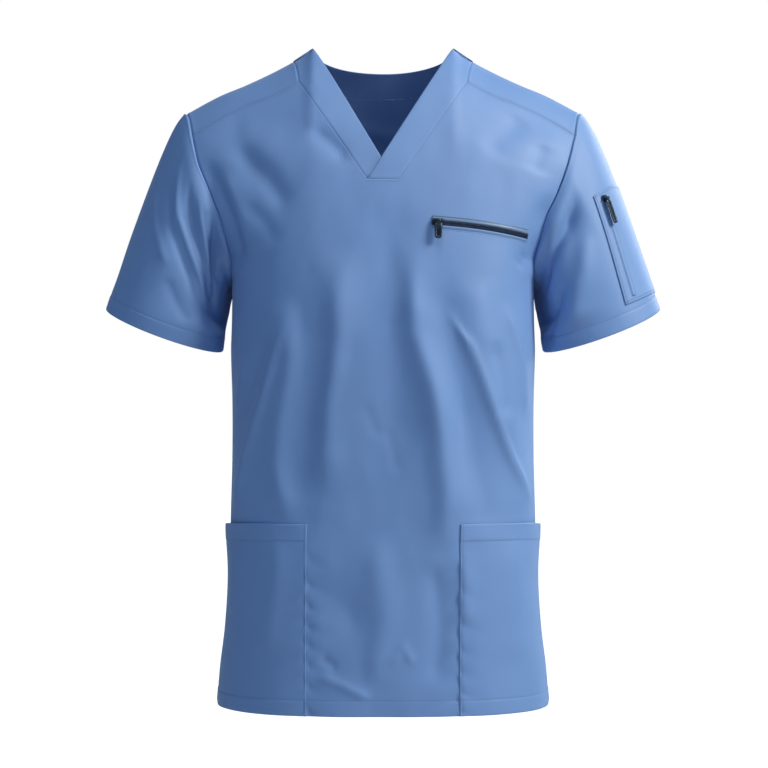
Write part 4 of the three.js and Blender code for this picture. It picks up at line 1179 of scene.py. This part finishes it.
# The chest zip: a tape band above, a dark coil, and the lower lip's edge
at, _, up, out = chest_zip_frame(np.linspace(0, 1, 60))
rail = (at, up, out)
# Profiles across the strips: offset, height, and painted shade, darkest in the grooves and at the edges
# beside the coil
BAND = [
    (6.9, 0.15, 0), (6.4, 0.3, 0.5), (6.0, 0.2, 1), (5.6, 0.6, 0.5), (5.0, 1.2, 0.1), (4.2, 1.6, 0),
    (3.2, 1.75, 0), (2.3, 1.6, 0), (1.7, 1.1, 0.3), (1.4, 0.4, 1),
]
TRACK = [(1.5, 0.3, 0), (1.2, 0.7, 0), (-3.6, 0.7, 0), (-4.0, 0.3, 0)]
LOWER_LIP = [
    (-3.7, 0.4, 1), (-4.0, 1.1, 0.5), (-4.6, 1.35, 0), (-5.6, 1.1, 0), (-6.6, 0.6, 0.2), (-7.2, 0.15, 0.6),
]
attach(strip("chest_zip_band", rail, BAND, band_cloth), "zip_tape", "zip_chest_tape")
attach(strip("chest_zip_track", rail, TRACK, dark_tape), "zip_tape")
attach(strip("chest_zip_lip", rail, LOWER_LIP, cloth), "scrub_cloth")


# Coil turns: their spacing and size, and for each row its offset across and its slant
TURN_PITCH, TURN_LONG, TURN_RADIUS, TURN_HEIGHT = 1.25, 2.5, 0.52, 1.05
COIL_ROWS = [(0.1, 0.25), (-2.4, -0.25)]


def chest_coil():
    at, along, up, out = chest_zip_frame(np.linspace(0, 1, int(CHEST_ZIP["long"] / TURN_PITCH)))
    centres = np.concatenate([at + up * offset + out * TURN_HEIGHT for offset, _ in COIL_ROWS])
    ways = np.concatenate([unit(up + along * slant) for _, slant in COIL_ROWS])
    outs = np.concatenate([out] * len(COIL_ROWS))
    return capsules("chest_zip_coil", centres, ways, outs, TURN_LONG, TURN_RADIUS, coil_nylon, flat=1.0)


attach(chest_coil(), "zip_tape")

# The sleeve zip: two cloth lips over a hidden coil
at, _, up, out = sleeve_zip_frame(np.linspace(0, 1, 60))
rail = (at + out * (PATCH_WALL + PATCH_GAP), np.cross(up, out), out)
# The welt's profile: offset, height, and painted shade, darkest in its two grooves
WELT = [
    (-3.3, 0.15, 0), (-2.8, 0.3, 0.3), (-2.35, 0.1, 1), (-1.9, 0.55, 0.4), (-1.2, 0.85, 0), (0, 0.95, 0),
    (1.2, 0.85, 0), (1.9, 0.55, 0.4), (2.35, 0.1, 1), (2.8, 0.3, 0.3), (3.3, 0.15, 0),
]
attach(strip("sleeve_zip_welt", rail, WELT, cloth), "scrub_cloth", "zip_sleeve_tape")


# Sliders and pull tabs, in the frame of the zip, snapped to their hinges
CLEAR, KNUCKLE_RADIUS, KNUCKLE_BORE, PIN_RADIUS = 0.4, 1.7, 1.05, 0.65
POST_WIDE, POST_HIGH, NECK_HIGH, RIDGE_HIGH = 1.2, 2.6, 3.4, 1.5
HINGES = {joint["name"]: joint for joint in frame["joints"]}


def slider_parts(wide, high, thick, reach, height):
    """Two stacked plates, two posts with the pin between them, and a ridge near the top."""
    body = plate_outline(wide, high, 1.8, taper=0.25)
    post = bevelled_plate(plate_outline(POST_WIDE, POST_HIGH, 0.5), thick * 0.6, height + 0.8, 0.2)
    ridge = bevelled_plate(plate_outline(wide * 0.5, RIDGE_HIGH, 0.6), thick, thick + 0.35, 0.15)
    return joined([
        bevelled_plate(body, 0, thick * 0.55, 0.25),
        bevelled_plate(body * 0.86, thick * 0.5, thick, 0.35),
        moved(post, x=-reach - POST_WIDE / 2),
        moved(post, x=reach + POST_WIDE / 2),
        moved(tube_along_x(PIN_RADIUS, 2 * reach + POST_WIDE), z=height),
        moved(ridge, y=high * 0.3),
    ])


def tab_parts(wide, long, thick, knuckle, slot, height):
    """A rounded plate with a sunk slot, its knuckle round the pin, and the neck between them."""
    slot_wide, slot_long, slot_down = slot
    plate = plate_outline(wide, long, wide * 0.36, steps=7, taper=0.12)
    sunk = plate_outline(slot_wide, slot_long, slot_wide * 0.45, steps=7) + np.array([0, slot_down])
    neck = bevelled_plate(plate_outline(knuckle, NECK_HIGH, 0.5), -thick / 2, thick / 2, 0.25)
    return joined([
        moved(bevelled_plate(plate, -thick / 2, thick / 2, 0.4, (sunk, 0.5)),
              y=-KNUCKLE_RADIUS - CLEAR - long / 2, z=height),
        moved(tube_along_x(KNUCKLE_RADIUS, knuckle, bore=KNUCKLE_BORE), z=height),
        moved(neck, y=-2.9, z=height),
    ])


def hardware(zip_name, frame_at, slider, knuckle, tab, slot):
    """A slider on the garment, and its pull tab on the tab's own body."""
    hinge = HINGES[f"{zip_name}_pull_lift"]
    along = unit(-np.array(hinge["axis"]))
    out = frame_at[3][0]
    out = unit(out - along * out.dot(along))
    height = slider[2] + CLEAR + KNUCKLE_RADIUS
    origin = np.array(hinge["pos_m"]) / MM - out * height
    made = {
        "slider": ("garment", slider_parts(*slider, knuckle / 2 + CLEAR, height)),
        "pull": (f"{zip_name}_pull", tab_parts(*tab, knuckle, slot, height)),
    }
    for kind, (body, (points, faces, wear)) in made.items():
        placed = origin + points @ np.array([along, np.cross(out, along), out])
        piece = add_mesh(f"{zip_name}_zip_{kind}_metal", placed, faces, metal, wear)
        for polygon in piece.data.polygons:
            polygon.use_smooth = len(polygon.vertices) == 4
        attach(piece, "dark_metal", f"zip_{zip_name}_{kind}", body=body)


hardware("chest", chest_zip_frame(np.array([0.06]), 0), (13, 6.5, 2), 5, (8.5, 18, 1.5), (4.4, 8.5, -2.6))
hardware("sleeve", sleeve_zip_frame(np.array([0.04]), 0), (7, 9, 2), 3.6, (7, 28, 1.5), (3.0, 20, -1.0))


# Stitching: rows of thread along borders and round the chest zip
def sew(name, lines):
    """One mesh of all the stitches on a cloth piece."""
    rows = [stitch_row(points, ways) for points, ways in lines]
    centres, along, ways = (np.concatenate(group) for group in zip(*rows))
    centres = centres - ways * STITCH_SUNK
    made = capsules(f"{name}_stitches", centres, along, ways, STITCH_LONG, STITCH_RADIUS, thread)
    return attach(made, "scrub_cloth")


for name, (_, grid, turn, borders, closed, lift) in walls.items():
    rows = [(edge, STITCHED[relief]) for edge, relief in borders.items() if relief in STITCHED]
    if rows:
        sew(name, [offset_line(grid, turn, edge, d, lift, closed) for edge, d in rows])

# Round the chest zip: two rows below it and one across each end
at, _, up, out = chest_zip_frame(np.linspace(0.02, 0.995, 50))
lines = [(at - up * drop + out * high, out) for drop, high in ((6.2, 0.75), (8.6, 0.05))]
for share, away in ((0.0, -1.6), (1.0, 1.6)):
    spot, _, up, out = (value[0] for value in chest_zip_frame(np.array([share])))
    run = np.linspace(-8, 7, 8)[:, None]
    lines.append((spot + up * run + unit(np.cross(up, out)) * away + out * 0.1, np.repeat(out[None], 8, 0)))
sew("chest_zip", lines)

# A table of the cloth pieces: each one's flat cut, its area, and the pieces that carry it; the loop only
# builds the carriers' names
YOKES = ["yoke_left", "yoke_right"]
SHEETS = {
    "front_panel": ((0.54, 0.71), 0.318, YOKES),
    "back_panel": ((0.54, 0.75), 0.333, YOKES),
    "yoke_left": ((0.14, 0.055), 0.0068, ["back_panel"]),
    "yoke_right": ((0.14, 0.055), 0.0068, ["back_panel"]),
    "sleeve_left": ((0.45, 0.27), 0.068, ["yoke_left"]),
    "sleeve_right": ((0.45, 0.27), 0.068, ["yoke_right"]),
    "neck_band_left": ((0.036, 0.22), 0.0068, ["front_panel"]),
    "neck_band_right": ((0.036, 0.20), 0.0061, ["front_panel"]),
    "neck_band_back": ((0.04, 0.25), 0.0078, ["back_panel"]),
    "pocket_left": ((0.175, 0.21), 0.0356, ["front_panel"]),
    "pocket_right": ((0.175, 0.21), 0.0356, ["front_panel"]),
    "sleeve_pocket": ((0.09, 0.13), 0.0112, ["sleeve_left"]),
}
for name, (flat, area, carried_by) in SHEETS.items():
    carried_by = [f"{other}_cloth" for other in carried_by]


# Camera, light and floor
def add_area(name, place, size, power, colour=(1, 1, 1)):
    lamp = bpy.data.lights.new(name, "AREA")
    lamp.shape, lamp.size, lamp.size_y = "RECTANGLE", *size
    lamp.energy, lamp.color = power, colour
    holder = add_object(name, lamp)
    holder.location = place
    holder.rotation_euler = (Vector((0, 0, -0.38)) - Vector(place)).to_track_quat("-Z", "Y").to_euler()


# The camera's distance, and how wide it sees there, in millimetres
CAMERA_AWAY, SEEN_WIDE, SENSOR = 2600, 883.2, 36
camera_data = bpy.data.cameras.new("camera")
camera_data.sensor_width = SENSOR
camera_data.lens = SENSOR * CAMERA_AWAY / SEEN_WIDE
camera_data.clip_end = 60
camera = add_object("camera", camera_data)
camera.location = (0.00115, -CAMERA_AWAY * MM, -0.3818)
camera.rotation_euler = (math.pi / 2, 0, 0)
bpy.context.scene.camera = camera

add_area("key", (2.1, -1.05, 1.35), (0.8, 1.1), 87, (1, 0.91, 0.75))
add_area("fill", (-1.6, -2.6, 0.5), (1.6, 1.6), 3, (0.65, 0.82, 1))
add_area("top", (-0.1, -1.3, 2.1), (1.0, 1.0), 20, (1, 0.94, 0.86))
add_area("back", (1.9, 2.2, 0.8), (1.2, 1.2), 40)

# The world is white to the camera and a dim blue to the cloth
WORLD_LIGHT = 0.22
world = bpy.data.worlds.new("studio")
bpy.context.scene.world = world
world.use_nodes = True
tree = world.node_tree
seen = to_camera(tree)
strength = maths(tree, "ADD", maths(tree, "MULTIPLY", seen, 1 - WORLD_LIGHT), WORLD_LIGHT)
sky = node(tree, "ShaderNodeMix", {0: seen, 6: (0.5, 0.72, 1, 1), 7: (1, 1, 1, 1)}, data_type="RGBA")
feed(tree, tree.nodes["Background"], {"Color": sky.outputs[2], "Strength": strength})

# A white floor, well below the hem
FLOOR_HALF, FLOOR_Z = 30, -1.45
floor_material, tree, shader = new_material("pale_floor", (0.9, 0.9, 0.9), 0.9)
glow = maths(tree, "MULTIPLY", to_camera(tree), 1.0)
feed(tree, shader, {"Emission Color": (1, 1, 1, 1), "Emission Strength": glow})
floor_mesh = bpy.data.meshes.new("floor")
corners = [(x * FLOOR_HALF, y * FLOOR_HALF, FLOOR_Z) for x, y in ((-1, -1), (1, -1), (1, 1), (-1, 1))]
floor_mesh.from_pydata(corners, [], [(0, 1, 2, 3)])
floor_mesh.materials.append(floor_material)
floor = add_object("floor", floor_mesh)
bpy.context.scene.view_settings.view_transform = "Standard"
